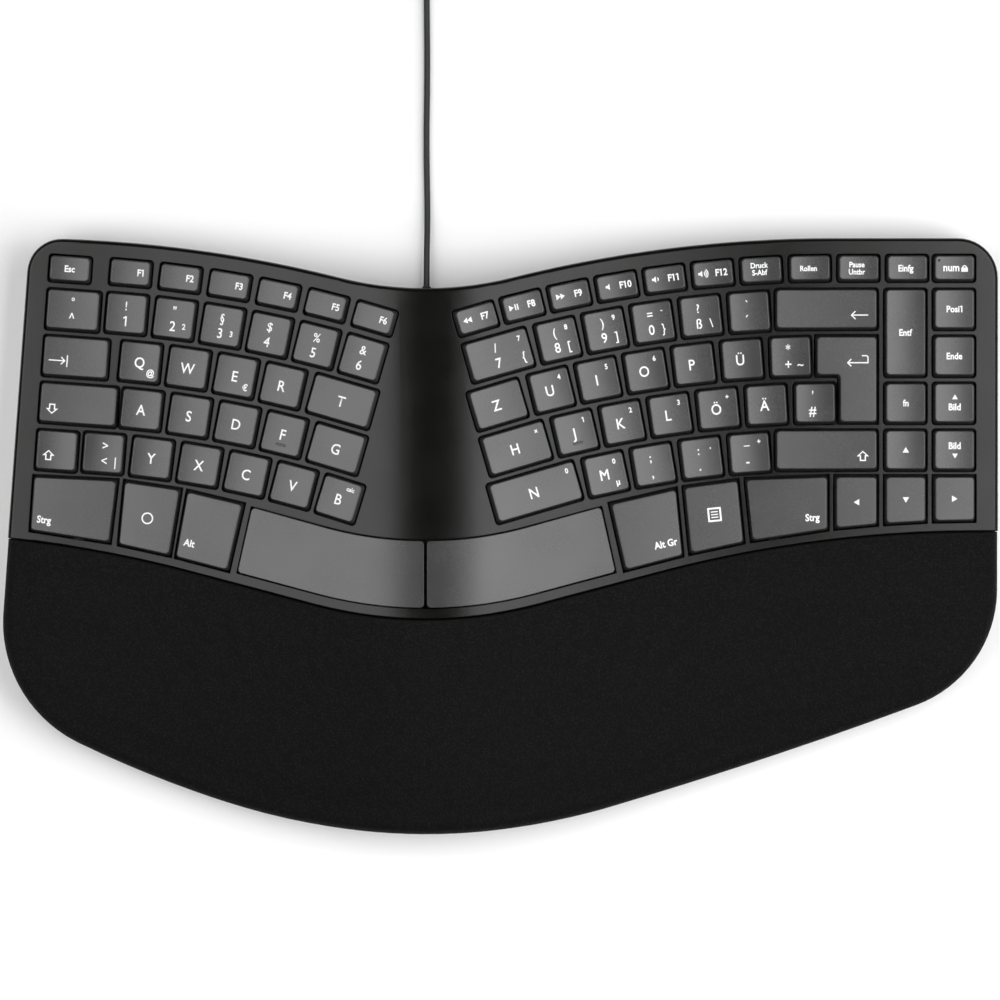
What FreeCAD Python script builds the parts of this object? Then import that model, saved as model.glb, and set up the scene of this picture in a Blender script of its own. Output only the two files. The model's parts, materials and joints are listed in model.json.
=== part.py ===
import FreeCAD, Part
import math
import os

from FreeCAD import Placement, Rotation, Vector

# Split ergonomic keyboard with a padded palm rest.  X runs along the case, Y from the palm rest
# to the back, Z up.  The origin is on the desk, under the middle of the case.

doc = FreeCAD.newDocument("ergonomic_keyboard")
sheet = doc.addObject("Spreadsheet::Sheet", "sizes")

# Driving dimensions, in millimetres and degrees
DRIVING = [
    ("deck_level", 19.0, "top of the level outer decks above the desk"),
    ("ridge_rise", 12.3, "height of the ridge above the level decks"),
    ("ridge_half_width", 24.8, "from the ridge line to where its round ends"),
    ("wing_foot", 134.1, "from the ridge line to where a wing runs level"),
    ("case_depth", 231.0, "front of the palm rest to the back edge"),
    ("trough_radius", 132.0, "inward bend in the middle of the back edge"),
    ("trough_slope", 14.46, "steepest slope of the back edge"),
    ("back_radius", 495.6, "arc of the back edge, and centre of the rows of keys"),
    ("back_left_corner", 13.5, "corner radius in plan"),
    ("back_right_corner", 15.5, "corner radius in plan"),
    ("front_radius", 258.0, "middle of the front edge"),
    ("front_right_slope", 16.3, "end of the middle arc"),
    ("front_right_radius", 1700.0, "long arc to the right corner"),
    ("right_corner_slope", 20.5, "start of the right front corner"),
    ("right_corner_radius", 48.0, "right front corner in plan"),
    ("front_left_slope", 17.5, "end of the middle arc"),
    ("front_left_radius", 419.0, "long arc to the left corner"),
    ("left_corner_slope", 26.0, "start of the left front corner"),
    ("left_corner_radius", 52.0, "left front corner in plan"),
    ("left_side_lean", 4.15, "left side against the Y axis"),
    ("palm_depth", 83.6, "front edge to the seam, on the ridge line"),
    ("seam_radius", 172.0, "middle of the seam"),
    ("seam_slope", 14.7, "steepest slope of the seam"),
    ("seam_straight", 47.6, "straight part of the seam, along X"),
    ("seam_outer_radius", 479.0, "outer arc of the seam"),
    ("seam_gap", 0.3, "open joint between the case and the palm rest"),
    ("edge_round", 1.6, "round along the top edges of the case"),
    ("wall", 2.0, "walls of the covers"),
    ("split_level", 7.0, "joint between the top and bottom covers"),
    ("floor_level", 1.2, "underside of the bottom cover"),
    ("floor_thickness", 2.0, "bottom cover"),
    ("floor_round", 1.0, "round along the lower edge of the bottom cover"),
    ("seam_edge_round", 0.5, "round along the seam edge of the case"),
    ("plate_inset", 6.4, "inner plates, from the outline of the case"),
    ("back_margin", 11.6, "back edge to the middle of the function row"),
    ("function_step", 15.9, "function row to number row"),
    ("row_step", 18.2, "row to row"),
    ("key_pitch", 18.85, "one key unit along a row"),
    ("function_left_pitch", 19.45, "function keys on the left wing"),
    ("key_gap", 4.0, "between the tops of two caps in a row"),
    ("row_gap", 3.7, "between the tops of two caps in a column"),
    ("function_cap_depth", 8.9, "top of a function cap, front to back"),
    ("cap_rise", 3.0, "top of a cap above the deck"),
    ("cap_skirt", 1.5, "skirt of a cap below the deck"),
    ("cap_draft_side", 0.72, "how far a side of a cap leans out to its foot"),
    ("cap_draft_back", 0.5, "how far the back of a cap leans out"),
    ("cap_draft_front", 0.9, "how far the front of a cap leans out"),
    ("cap_wall", 1.2, "walls and top of a cap"),
    ("cap_corner", 1.5, "upright corners of a cap"),
    ("cap_edge", 0.45, "round along the top edges of a cap"),
    ("cap_dish", 0.3, "hollow in the top of a cap"),
    ("home_bar_length", 3.6, "raised bar on the two home keys"),
    ("home_bar_width", 0.6, "raised bar on the two home keys"),
    ("home_bar_rise", 0.35, "raised bar on the two home keys"),
    ("window_gap", 0.5, "between the foot of a cap and its window"),
    ("travel", 2.8, "stroke of a key"),
    ("stem_radius", 2.2, "plunger under a cap"),
    ("stem_reach", 6.8, "foot of the plunger below the deck"),
    ("sleeve_gap", 0.15, "between a plunger and its sleeve"),
    ("sleeve_wall", 0.8, "wall of a sleeve"),
    ("sleeve_top", 2.0, "mouth of a sleeve below the deck"),
    ("guide_drop", 5.0, "guide plate below the deck"),
    ("guide_thickness", 1.5, "guide plate"),
    ("dome_gap", 0.3, "dome below the plunger"),
    ("dome_radius", 4.0, "foot of a dome"),
    ("dome_top_radius", 2.3, "crown of a dome"),
    ("dome_wall", 0.4, "skin of a dome"),
    ("dome_seat", 0.02, "dome above the curved sheet"),
    ("dome_room", 0.3, "dome beside the rim of the guide plate"),
    ("sheet_drop", 10.6, "top of the membrane below the deck"),
    ("sheet_thickness", 0.15, "one sheet of the membrane"),
    ("sheet_gap", 0.05, "glue between the sheets"),
    ("spacer_hole", 2.0, "radius of a contact hole in the spacer"),
    ("steel_thickness", 0.8, "back plate"),
    ("palm_back", 10.0, "where the palm rest starts to fall away, along Y"),
    ("palm_drop", 6.0, "fall of the palm rest to its front edge"),
    ("cover_thickness", 1.0, "cover of the palm rest"),
    ("foam_thickness", 4.0, "foam of the palm rest"),
    ("palm_nose", 4.6, "round along the outer edge of the palm rest"),
    ("palm_seam_round", 0.9, "round along the seam edge of the palm rest"),
    ("board_length", 60.0, "controller board, along X"),
    ("board_width", 30.0, "controller board, along Y"),
    ("board_thickness", 1.6, "controller board"),
    ("board_level", 9.0, "top of the controller board"),
    ("board_front", 48.0, "front edge of the controller board, along Y"),
    ("chip_side", 10.0, "controller chip"),
    ("chip_height", 1.4, "controller chip"),
    ("chip_across", 22.0, "left edge of the chip, from the ridge line"),
    ("chip_along", 5.0, "front edge of the chip, from that of the board"),
    ("tail_width", 20.0, "tail of the membrane"),
    ("tail_over", 1.5, "tail of the membrane behind the sheets"),
    ("tail_reach", 21.0, "tail of the membrane over the board"),
    ("clamp_along", 73.0, "middle of the clamp bar, along Y"),
    ("clamp_screw", 12.0, "screw of the clamp bar, from the ridge line"),
    ("clamp_length", 30.0, "clamp bar over the tail"),
    ("clamp_width", 6.0, "clamp bar over the tail"),
    ("clamp_height", 3.5, "clamp bar over the tail"),
    ("screw_radius", 1.0, "shank of a screw"),
    ("screw_length", 9.0, "shank of a screw"),
    ("screw_head_radius", 1.9, "head of a screw"),
    ("screw_head_height", 1.3, "head of a screw"),
    ("screw_gap", 0.05, "between a screw and its hole"),
    ("boss_radius", 2.0, "screw boss in the covers"),
    ("boss_inset", 3.2, "screw boss, from the outline of the case"),
    ("boss_height", 5.5, "screw boss above the joint between the covers"),
    ("boss_end", 0.5, "solid end of a boss over its hole"),
    ("hold_radius", 2.5, "post that presses the guide plate down"),
    ("rim_width", 1.0, "rim under the guide plate"),
    ("post_radius", 3.0, "post under the steel plate"),
    ("foot_length", 24.0, "rubber foot"),
    ("foot_width", 8.0, "rubber foot"),
    ("foot_recess", 0.4, "depth that a foot is let in"),
    ("front_row_low", -1.9, "back of the front row, on the ridge line"),
    ("front_row_radius", 150.0, "middle of that curve"),
    ("front_row_slope", 15.2, "steepest slope of that curve"),
    ("front_row_straight", 33.4, "straight part of that curve, along X"),
    ("front_row_outer_radius", 295.0, "outer arc of that curve"),
    ("cable_diameter", 2.4, "USB cable"),
    ("exit_level", 4.6, "middle of the cable where it leaves the case"),
    ("grommet_radius", 2.2, "flanges of the strain relief"),
    ("grommet_neck", 1.75, "strain relief in the wall"),
    ("grommet_flange", 1.2, "thickness of the inner flange"),
    ("grommet_tip", 1.6, "outer end of the strain relief"),
    ("grommet_tail", 1.5, "strain relief outside the wall"),
    ("grommet_seat", 0.1, "that tail before the curved wall"),
    ("coil_gap", 0.5, "between two turns of the stored coil"),
    ("coil_radius", 18.5, "outer turns of the stored coil"),
    ("coil_distance", 236.0, "middle of the coil, along Y"),
    ("tie_thickness", 0.6, "band round the coil"),
    ("tie_width", 4.0, "band round the coil"),
    ("tie_gap", 0.4, "between the band and the turns"),
    ("plug_body_length", 24.0, "grip of the USB plug"),
    ("plug_body_width", 15.6, "grip of the USB plug"),
    ("plug_body_height", 8.0, "grip of the USB plug"),
    ("plug_body_round", 1.5, "long edges of that grip"),
    ("plug_shell_length", 12.0, "metal shell of the USB plug"),
    ("plug_shell_width", 12.0, "metal shell of the USB plug"),
    ("plug_shell_height", 4.5, "metal shell of the USB plug"),
    ("plug_shell_wall", 0.3, "metal shell of the USB plug"),
]
for line, (alias, value, note) in enumerate(DRIVING, start=1):
    sheet.set(f"A{line}", alias)
    sheet.set(f"B{line}", str(value))
    sheet.set(f"C{line}", note)
    sheet.setAlias(f"B{line}", alias)
doc.recompute()


def size(alias):
    return float(sheet.get(alias))


def bind(item, **formulas):
    """Bind properties of an object to formulas over the sheet's cells."""
    for name, formula in formulas.items():
        item.setExpression(name, formula)
    return item


def feature(label, shape, place=None):
    """A free shape as an object of the document."""
    item = doc.addObject("Part::Feature", label)
    item.Label = label
    item.Shape = shape
    if place is not None:
        item.Placement = place
    return item


def named(kind, label, **properties):
    item = doc.addObject(kind, label)
    item.Label = label
    for name, value in properties.items():
        setattr(item, name, value)
    return item


def compound(label, items):
    return named("Part::Compound", label, Links=items)


def linked(label, source, places):
    """Copies of one object, each at its own place."""
    copies = []
    for count, place in enumerate(places):
        copy = named("App::Link", f"{label}_{count}", LinkedObject=source)
        copy.Placement = place
        copies.append(copy)
    return copies


def cut(label, base, tool):
    return named("Part::Cut", label, Base=base, Tool=tool)


def common(label, base, tool):
    return named("Part::Common", label, Base=base, Tool=tool)


def fuse(label, items):
    return named("Part::MultiFuse", label, Shapes=items)


UP = Vector(0, 0, 1)
ALONG_Y = Vector(0, 1, 0)

# The middle of the case lies between its two sides, so the ridge line lies left of it
front_left = math.radians(size("front_left_slope"))
left_corner = math.radians(size("left_corner_slope"))
front_right = math.radians(size("front_right_slope"))
right_corner = math.radians(size("right_corner_slope"))
left_reach = (
    size("front_radius") * math.sin(front_left)
    + size("front_left_radius") * (math.sin(left_corner) - math.sin(front_left))
    + size("left_corner_radius") * (1 - math.sin(left_corner))
)
right_reach = (
    size("front_radius") * math.sin(front_right)
    + size("front_right_radius") * (math.sin(right_corner) - math.sin(front_right))
    + size("right_corner_radius") * (1 - math.sin(right_corner))
)
ridge_x = (left_reach - right_reach) / 2
front_y = -size("case_depth") / 2
back_y = size("case_depth") / 2

# The cross-section of the deck: a round ridge, two hollow wings and two level decks
wing_angle = 2 * math.atan(size("ridge_rise") / size("wing_foot"))
ridge_radius = size("ridge_half_width") / math.sin(wing_angle)
wing_radius = (size("wing_foot") - size("ridge_half_width")) / math.sin(wing_angle)
ridge_level = size("deck_level") + size("ridge_rise")


def deck_height(across, drop=0.0):
    """Height of the deck, or of a layer square below it, at a distance from the ridge line."""
    across = abs(across)
    if across < (ridge_radius - drop) * math.sin(wing_angle):
        radius = ridge_radius - drop
        return ridge_level - ridge_radius + math.sqrt(radius ** 2 - across ** 2)
    if across < size("wing_foot"):
        radius = wing_radius + drop
        hollow = math.sqrt(radius ** 2 - (size("wing_foot") - across) ** 2)
        return size("deck_level") + wing_radius - hollow
    return size("deck_level") - drop


def deck_joints(drop=0.0):
    ridge_end = (ridge_radius - drop) * math.sin(wing_angle)
    return [-size("wing_foot"), -ridge_end, ridge_end, size("wing_foot")]


def deck_lean(across):
    """Slope of the deck, in degrees, down towards the side."""
    across = abs(across)
    if across < size("ridge_half_width"):
        return math.degrees(math.asin(across / ridge_radius))
    if across < size("wing_foot"):
        return math.degrees(math.asin((size("wing_foot") - across) / wing_radius))
    return 0.0


def bend(height, joints, start, end, point):
    """Lines and arcs along a curve that is made of straight and round stretches."""
    stops = [start]
    for stop in [*joints, end]:
        if stops[-1] + 1e-6 < stop <= end:
            stops.append(stop)
    edges = []
    for first, last in zip(stops, stops[1:]):
        middle = (first + last) / 2
        ends = point(first, height(first)), point(last, height(last))
        inner = point(middle, height(middle))
        if inner.sub((ends[0] + ends[1]) * 0.5).Length < 1e-6:
            edges.append(Part.LineSegment(*ends).toShape())
        else:
            edges.append(Part.Arc(ends[0], inner, ends[1]).toShape())
    return edges


def closed_face(edges, corners):
    """Face inside a chain of edges that is closed by straight lines through the corners."""
    start, end = edges[0].firstVertex(True).Point, edges[-1].lastVertex(True).Point
    path = [end, *corners, start]
    lines = [Part.LineSegment(a, b).toShape() for a, b in zip(path, path[1:])]
    return Part.Face(Part.Wire(edges + lines))


def wave(low, inner_radius, slope, straight, outer_radius):
    """Curve in plan that dips to the ridge line: its height along Y, and where its parts join."""
    angle = math.radians(slope)
    first = inner_radius * math.sin(angle)
    second = first + straight
    third = second + outer_radius * math.sin(angle)
    rise = inner_radius * (1 - math.cos(angle))
    top = low + rise + straight * math.tan(angle) + outer_radius * (1 - math.cos(angle))

    def height(across):
        across = abs(across)
        if across < first:
            return low + inner_radius - math.sqrt(inner_radius ** 2 - across ** 2)
        if across < second:
            return low + rise + (across - first) * math.tan(angle)
        if across < third:
            return top - outer_radius + math.sqrt(outer_radius ** 2 - (third - across) ** 2)
        return top

    return height, [-third, -second, -first, first, second, third]


def in_plan(across, along):
    return Vector(ridge_x + across, along, 0)


# The back edge, the seam and the front row of keys in plan
back_angle = math.radians(size("trough_slope"))
back_low = back_y - (size("trough_radius") + size("back_radius")) * (1 - math.cos(back_angle))
back_edge, back_joints = wave(
    back_low, size("trough_radius"), size("trough_slope"), 0.0, size("back_radius")
)
row_centre_across = (size("trough_radius") + size("back_radius")) * math.sin(back_angle)
row_centre_along = back_y - size("back_radius")
seam_low = front_y + size("palm_depth")


def seam_curve(step):
    """The seam, or a curve beside it, towards the back."""
    return wave(
        seam_low + step,
        size("seam_radius") - step,
        size("seam_slope"),
        size("seam_straight"),
        size("seam_outer_radius") + step,
    )


# The outline in plan: a chain of arcs each way from the lowest point of the front edge
def front_chain(steps, side):
    """Arcs that turn from the front edge to a side.  Each step is a radius and an end slope."""
    point, slope, edges = Vector(ridge_x, front_y, 0), 0.0, []
    for radius, end_slope in steps:
        centre = point + Vector(-side * math.sin(slope), math.cos(slope), 0) * radius
        stops = []
        for turn in (slope, (slope + end_slope) / 2, end_slope):
            stops.append(centre + Vector(side * math.sin(turn), -math.cos(turn), 0) * radius)
        edges.append(Part.Arc(*stops).toShape())
        point, slope = stops[2], end_slope
    return edges, point


upright = math.radians(90)
lean = math.radians(size("left_side_lean"))
right_chain, right_start = front_chain(
    [
        (size("front_radius"), front_right),
        (size("front_right_radius"), right_corner),
        (size("right_corner_radius"), upright),
    ],
    1,
)
left_chain, left_start = front_chain(
    [
        (size("front_radius"), front_left),
        (size("front_left_radius"), left_corner),
        (size("left_corner_radius"), upright + lean),
    ],
    -1,
)


def left_side(along):
    """X of the left side of the case."""
    return left_start.x + (along - left_start.y) * math.tan(lean)


left_back = left_side(back_y) - ridge_x
right_back = right_start.x - ridge_x
back_edges = bend(back_edge, back_joints, left_back, right_back, in_plan)
side_lines = [
    Part.LineSegment(right_start, in_plan(right_back, back_edge(right_back))).toShape(),
    Part.LineSegment(left_start, in_plan(left_back, back_edge(left_back))).toShape(),
]
outline_edges = Part.__sortEdges__(right_chain + side_lines + back_edges + left_chain)
sharp = Part.Face(Part.Wire(outline_edges)).extrude(UP)
for x, radius in (
    (ridge_x + left_back, size("back_left_corner")),
    (ridge_x + right_back, size("back_right_corner")),
):
    corner = [
        edge
        for edge in sharp.Edges
        if abs(edge.Vertexes[0].X - x) < 0.01
        and abs(edge.Vertexes[-1].X - x) < 0.01
        and abs(edge.Vertexes[0].Z - edge.Vertexes[-1].Z) > 0.5
        and edge.Vertexes[0].Y > back_y - 1
    ]
    sharp = sharp.makeFillet(radius, corner)
underside = [face for face in sharp.Faces if face.BoundBox.ZMax < 1e-6][0]
outline_face = Part.Face(Part.Wire(Part.__sortEdges__(underside.OuterWire.Edges)))

FAR = 2 * size("case_depth")


def beside_seam(step, side):
    """All of the plan that lies behind (1) or in front (-1) of the seam."""
    height, joints = seam_curve(step)
    edges = bend(height, joints, -FAR, FAR, in_plan)
    far = side * FAR
    return closed_face(edges, [in_plan(FAR, far), in_plan(-FAR, far)])


def inset(face, distance):
    return face.makeOffset2D(-distance, 0, False, False, True)


case_face = outline_face.common(beside_seam(0.0, 1)).Faces[0]
palm_face = outline_face.common(beside_seam(-size("seam_gap"), -1)).Faces[0]
plate_face = inset(case_face, size("plate_inset"))

case_plan = feature("case_plan", case_face)
palm_plan = feature("palm_plan", palm_face)
plate_plan = feature("plate_plan", plate_face)
whole_plan = feature("whole_plan", outline_face)


def prism(label, plan, low, high):
    """Upright prism over a plan between two levels that are formulas over the sheet."""
    item = named("Part::Extrusion", label, Base=plan, DirMode="Custom", Dir=UP, Solid=True)
    bind(item, LengthFwd=high, LengthRev=f"-({low})")
    return item


def section(label, upper, lower, along):
    """Cross-section between two layers square to the deck, or of all that is under one."""
    half = size("case_depth")

    def at(drop):
        def point(across, height):
            return Vector(ridge_x + across, along, height)

        joints = deck_joints(drop)
        return bend(lambda across: deck_height(across, drop), joints, -half, half, point)

    top = at(upper)
    if lower is None:
        base = [Vector(ridge_x + half, along, -half), Vector(ridge_x - half, along, -half)]
        face = closed_face(top, base)
    else:
        low = at(lower)
        ends = [(top[0], low[0], "firstVertex"), (top[-1], low[-1], "lastVertex")]
        sides = []
        for upper_edge, lower_edge, end in ends:
            a = getattr(upper_edge, end)(True).Point
            b = getattr(lower_edge, end)(True).Point
            sides.append(Part.LineSegment(a, b).toShape())
        face = Part.Face(Part.Wire(Part.__sortEdges__(top + low + sides)))
    return feature(label + "_section", face)


def deck_layer(label, upper, lower=None):
    """A layer square to the deck, or all that is under one, from front to back."""
    base = section(label, upper, lower, -1.5 * size("case_depth"))
    item = named("Part::Extrusion", label, Base=base, DirMode="Custom", Dir=ALONG_Y, Solid=True)
    return bind(item, LengthFwd="3 * sizes.case_depth")


# The keys.  A row is an arc about one centre in front of the deck.  A key's place is its
# distance along the deck from the ridge line.
function_row = size("back_radius") - size("back_margin")
number_row = function_row - size("function_step")
upper_row = number_row - size("row_step")
home_row = upper_row - size("row_step")
lower_row = home_row - size("row_step")
LEFT, RIGHT = -1, 1
STEP = 0.25


def row_turn(across, radius):
    """Turn of a row in plan, in radians."""
    return math.asin(max(0.0, row_centre_across - across) / radius)


def walk(radius, distance):
    """How far from the ridge line a distance along the deck ends."""
    across = gone = 0.0
    while gone < distance:
        flat = math.cos(row_turn(across, radius)) * math.cos(math.radians(deck_lean(across)))
        across += STEP
        gone += STEP / flat
    return across - (gone - distance) * flat


def row_along(across, radius):
    return row_centre_along + radius * math.cos(row_turn(across, radius))


keys = {}


def add_key(name, side, across, radius, units, kind):
    turn = math.degrees(row_turn(across, radius))
    keys[name] = {
        "side": side,
        "across": across,
        "along": row_along(across, radius),
        "turn": side * turn,
        "units": units,
        "kind": kind,
    }


def cap_width(units):
    return units * size("key_pitch") - size("key_gap")


# Row, side, first distance, pitch, then the first key's width in units and the keys
pitch = size("key_pitch")
RUNS = [
    (function_row, LEFT, 20.7, size("function_left_pitch"), 1, "f6 f5 f4 f3 f2 f1"),
    (function_row, RIGHT, 20.4, pitch, 1, "f7 f8 f9 f10 f11 f12 print scroll pause insert"),
    (number_row, LEFT, 25.5, pitch, 1, "6 5 4 3 2 1"),
    (number_row, RIGHT, 29.7, pitch, 1.5, "7"),
    (number_row, RIGHT, 53.6, pitch, 1, "8 9 0 sharp_s accent"),
    (upper_row, LEFT, 34.0, pitch, 1.5, "t"),
    (upper_row, LEFT, 58.1, pitch, 1, "r e w q"),
    (upper_row, RIGHT, 29.4, pitch, 1.25, "z"),
    (upper_row, RIGHT, 51.1, pitch, 1, "u i o p ue plus"),
    (home_row, LEFT, 36.4, pitch, 1.25, "g"),
    (home_row, LEFT, 57.9, pitch, 1, "f d s a"),
    (home_row, RIGHT, 37.1, pitch, 1.5, "h"),
    (home_row, RIGHT, 60.9, pitch, 1, "j k l oe ae hash"),
    (lower_row, LEFT, 35.4, pitch, 1, "b v c x y angle"),
    (lower_row, RIGHT, 45.0, pitch, 2, "n"),
    (lower_row, RIGHT, 73.5, pitch, 1, "m comma dot dash"),
]
for radius, side, first, step, units, names in RUNS:
    for count, name in enumerate(names.split()):
        kind = "function" if radius == function_row else "home" if name in "fj" else "row"
        add_key(name, side, walk(radius, first + count * step), radius, units, kind)

# The outer keys on the left follow the side of the case
LEFT_MARGIN = 9.4
for name, radius, units, kind in (
    ("esc", function_row, 1, "function"),
    ("caret", number_row, 1.25, "row"),
    ("tab", upper_row, 1.5, "row"),
    ("caps", home_row, 1.75, "row"),
    ("shift_left", lower_row, 1, "row"),
):
    guess = row_along(size("wing_foot"), radius)
    across = ridge_x - left_side(guess) - LEFT_MARGIN - cap_width(units) / 2
    add_key(name, LEFT, across, radius, units, kind)
    keys[name]["turn"] = -size("left_side_lean")

# The outer keys on the right stand in straight columns
BLOCK_EDGE = 174.3
EDIT_COLUMN = BLOCK_EDGE + size("key_gap") + cap_width(1) / 2
LAST_COLUMN = EDIT_COLUMN + size("key_pitch")
for name, radius in (("backspace", number_row), ("shift_right", lower_row)):
    add_key(name, RIGHT, BLOCK_EDGE - cap_width(2.25) / 2, radius, 2.25, "row")
add_key("delete", RIGHT, EDIT_COLUMN, (number_row + upper_row) / 2, 1, "tall")
add_key("fn", RIGHT, EDIT_COLUMN, home_row, 1, "row")
add_key("up", RIGHT, EDIT_COLUMN, lower_row, 1, "row")
add_key("num", RIGHT, LAST_COLUMN, function_row, 1, "function")
for name, radius in (
    ("home_key", number_row),
    ("end", upper_row),
    ("page_up", home_row),
    ("page_down", lower_row),
):
    add_key(name, RIGHT, LAST_COLUMN, radius, 1, "row")

# The front row.  Its back edge is a curve of its own and its front edge runs beside the seam.
FRONT_STRIP = 4.4
front_back, front_back_joints = wave(
    size("front_row_low"),
    size("front_row_radius"),
    size("front_row_slope"),
    size("front_row_straight"),
    size("front_row_outer_radius"),
)
front_front, front_front_joints = seam_curve(FRONT_STRIP)
SPACE_SPLIT = 0.6
SPACE_LEAN = 7.2
FRONT_ROW = {
    "space_left": (LEFT, SPACE_SPLIT, 67.6, SPACE_SPLIT, 73.3),
    "alt": (LEFT, 71.2, 92.1, 77.0, 96.6),
    "start": (LEFT, 95.5, 116.4, 99.6, 118.7),
    "ctrl_left": (LEFT, 120.0, 151.4, 122.9, 152.8),
    "space_right": (RIGHT, SPACE_SPLIT, 68.1, SPACE_SPLIT, 73.8),
    "alt_gr": (RIGHT, 71.9, 96.6, 77.5, 99.1),
    "menu": (RIGHT, 100.3, 120.4, 102.8, 122.7),
    "ctrl_right": (RIGHT, 124.2, 155.2, 126.6, 155.2),
    "left": (RIGHT, 159.0, BLOCK_EDGE, 159.0, BLOCK_EDGE),
    "down": (RIGHT, 178.3, 193.2, 178.3, 193.2),
    "right": (RIGHT, 197.2, 212.1, 197.2, 212.1),
}

# One node for each key that stands alone, and one for each column whose keys share an axis
GROUPS = {
    "key_esc": "esc",
    "key_tab": "tab",
    "key_caps_lock": "caps",
    "key_shift_left": "shift_left",
    "key_shift_right": "shift_right",
    "key_backspace": "backspace",
    "key_delete": "delete",
    "key_fn": "fn",
    "key_up": "up",
    "keys_caret_column": "caret angle",
    "keys_f1_column": "f1 1 q a y",
    "keys_f2_column": "f2 2 w s x",
    "keys_f3_column": "f3 3 e d c",
    "keys_f4_column": "f4 4 r f v",
    "keys_f5_column": "f5 5 t g b",
    "keys_f6_column": "f6 6",
    "keys_f7_column": "f7 7 z h n",
    "keys_f8_column": "f8 8 u j m",
    "keys_f9_column": "f9 9 i k comma",
    "keys_f10_column": "f10 0 o l dot",
    "keys_f11_column": "f11 sharp_s p oe dash",
    "keys_f12_column": "f12 accent ue ae",
    "keys_print_column": "print plus hash",
    "keys_system_row": "scroll pause insert num",
    "keys_navigation_column": "home_key end page_up page_down",
}
group_lean = {}
for node, names in GROUPS.items():
    leans = [deck_lean(keys[name]["across"]) for name in names.split()]
    group_lean[node] = sum(leans) / len(leans)
    for name in names.split():
        keys[name]["lean"] = group_lean[node]


def on_deck(side, across, along, lean_angle, turn=0.0):
    """Place on the deck: Z square to it, turned in its plane."""
    tilt = Rotation(ALONG_Y, side * lean_angle)
    spot = Vector(ridge_x + side * across, along, deck_height(across))
    return Placement(spot, tilt.multiply(Rotation(UP, turn)))


def key_place(name):
    key = keys[name]
    return on_deck(key["side"], key["across"], key["along"], key["lean"], key["turn"])


# Caps with four straight sides are made once for each size, and copied to their places
UPRIGHT_WEDGE = Placement(Vector(), Rotation(Vector(1, 0, 0), 90))
SPARE = 0.4


def edges_where(shape, test):
    return [index + 1 for index, edge in enumerate(shape.Edges) if test(edge)]


def is_upright(edge):
    ends = [vertex.Z for vertex in edge.Vertexes]
    return abs(ends[0] - ends[-1]) > size("cap_skirt")


def is_top(edge):
    return min(vertex.Z for vertex in edge.Vertexes) > size("cap_rise") / 2


def rounded(label, base, radius, test):
    doc.recompute()
    item = named("Part::Fillet", label, Base=base)
    item.Edges = [(index, radius, radius) for index in edges_where(base.Shape, test)]
    return item


def cap_wedge(label, width, depth, wall, top):
    """Tapered block of a cap, or of its hollow, a wall inside it."""
    item = named("Part::Wedge", label, Placement=UPRIGHT_WEDGE)
    return bind(
        item,
        Xmin=f"-({width}) / 2 - sizes.cap_draft_side + {wall}",
        Xmax=f"({width}) / 2 + sizes.cap_draft_side - {wall}",
        X2min=f"-({width}) / 2 + {wall}",
        X2max=f"({width}) / 2 - {wall}",
        Zmin=f"-({depth}) / 2 - sizes.cap_draft_back + {wall}",
        Zmax=f"({depth}) / 2 + sizes.cap_draft_front - {wall}",
        Z2min=f"-({depth}) / 2 + {wall}",
        Z2max=f"({depth}) / 2 - {wall}",
        Ymin="-sizes.cap_skirt",
        Ymax=top,
    )


def dish_cutter(label, width):
    """Cylinder that lies over a cap and hollows its top."""
    item = named("Part::Cylinder", label)
    bind(item, Radius=f"({width}) ^ 2 / (8 * sizes.cap_dish)", Height="4 * sizes.row_step")
    doc.recompute()
    centre = Vector(0, item.Height.Value / 2, size("cap_rise") + item.Radius.Value)
    centre.z -= size("cap_dish")
    item.Placement = Placement(centre, Rotation(Vector(1, 0, 0), 90))
    return item


def stem(label, shift):
    """Plunger of a cap."""
    item = named("Part::Cylinder", label)
    bind(
        item,
        Radius="sizes.stem_radius",
        Height="sizes.stem_reach + sizes.cap_rise - sizes.cap_wall / 2",
    )
    item.Placement = Placement(Vector(shift, 0, -size("stem_reach")), Rotation())
    return item


def stem_shifts(width):
    """A wide key has a plunger near each end besides the one in the middle."""
    if width < 2 * size("key_pitch") - size("key_gap"):
        return [0.0]
    outer = width / 2 - size("sleeve_wall") - 2 * size("stem_radius")
    return [-outer, 0.0, outer]


DEPTHS = {
    "function": "sizes.function_cap_depth",
    "row": "sizes.row_step - sizes.row_gap",
    "home": "sizes.row_step - sizes.row_gap",
    "tall": "2 * sizes.row_step - sizes.row_gap",
}


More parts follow.
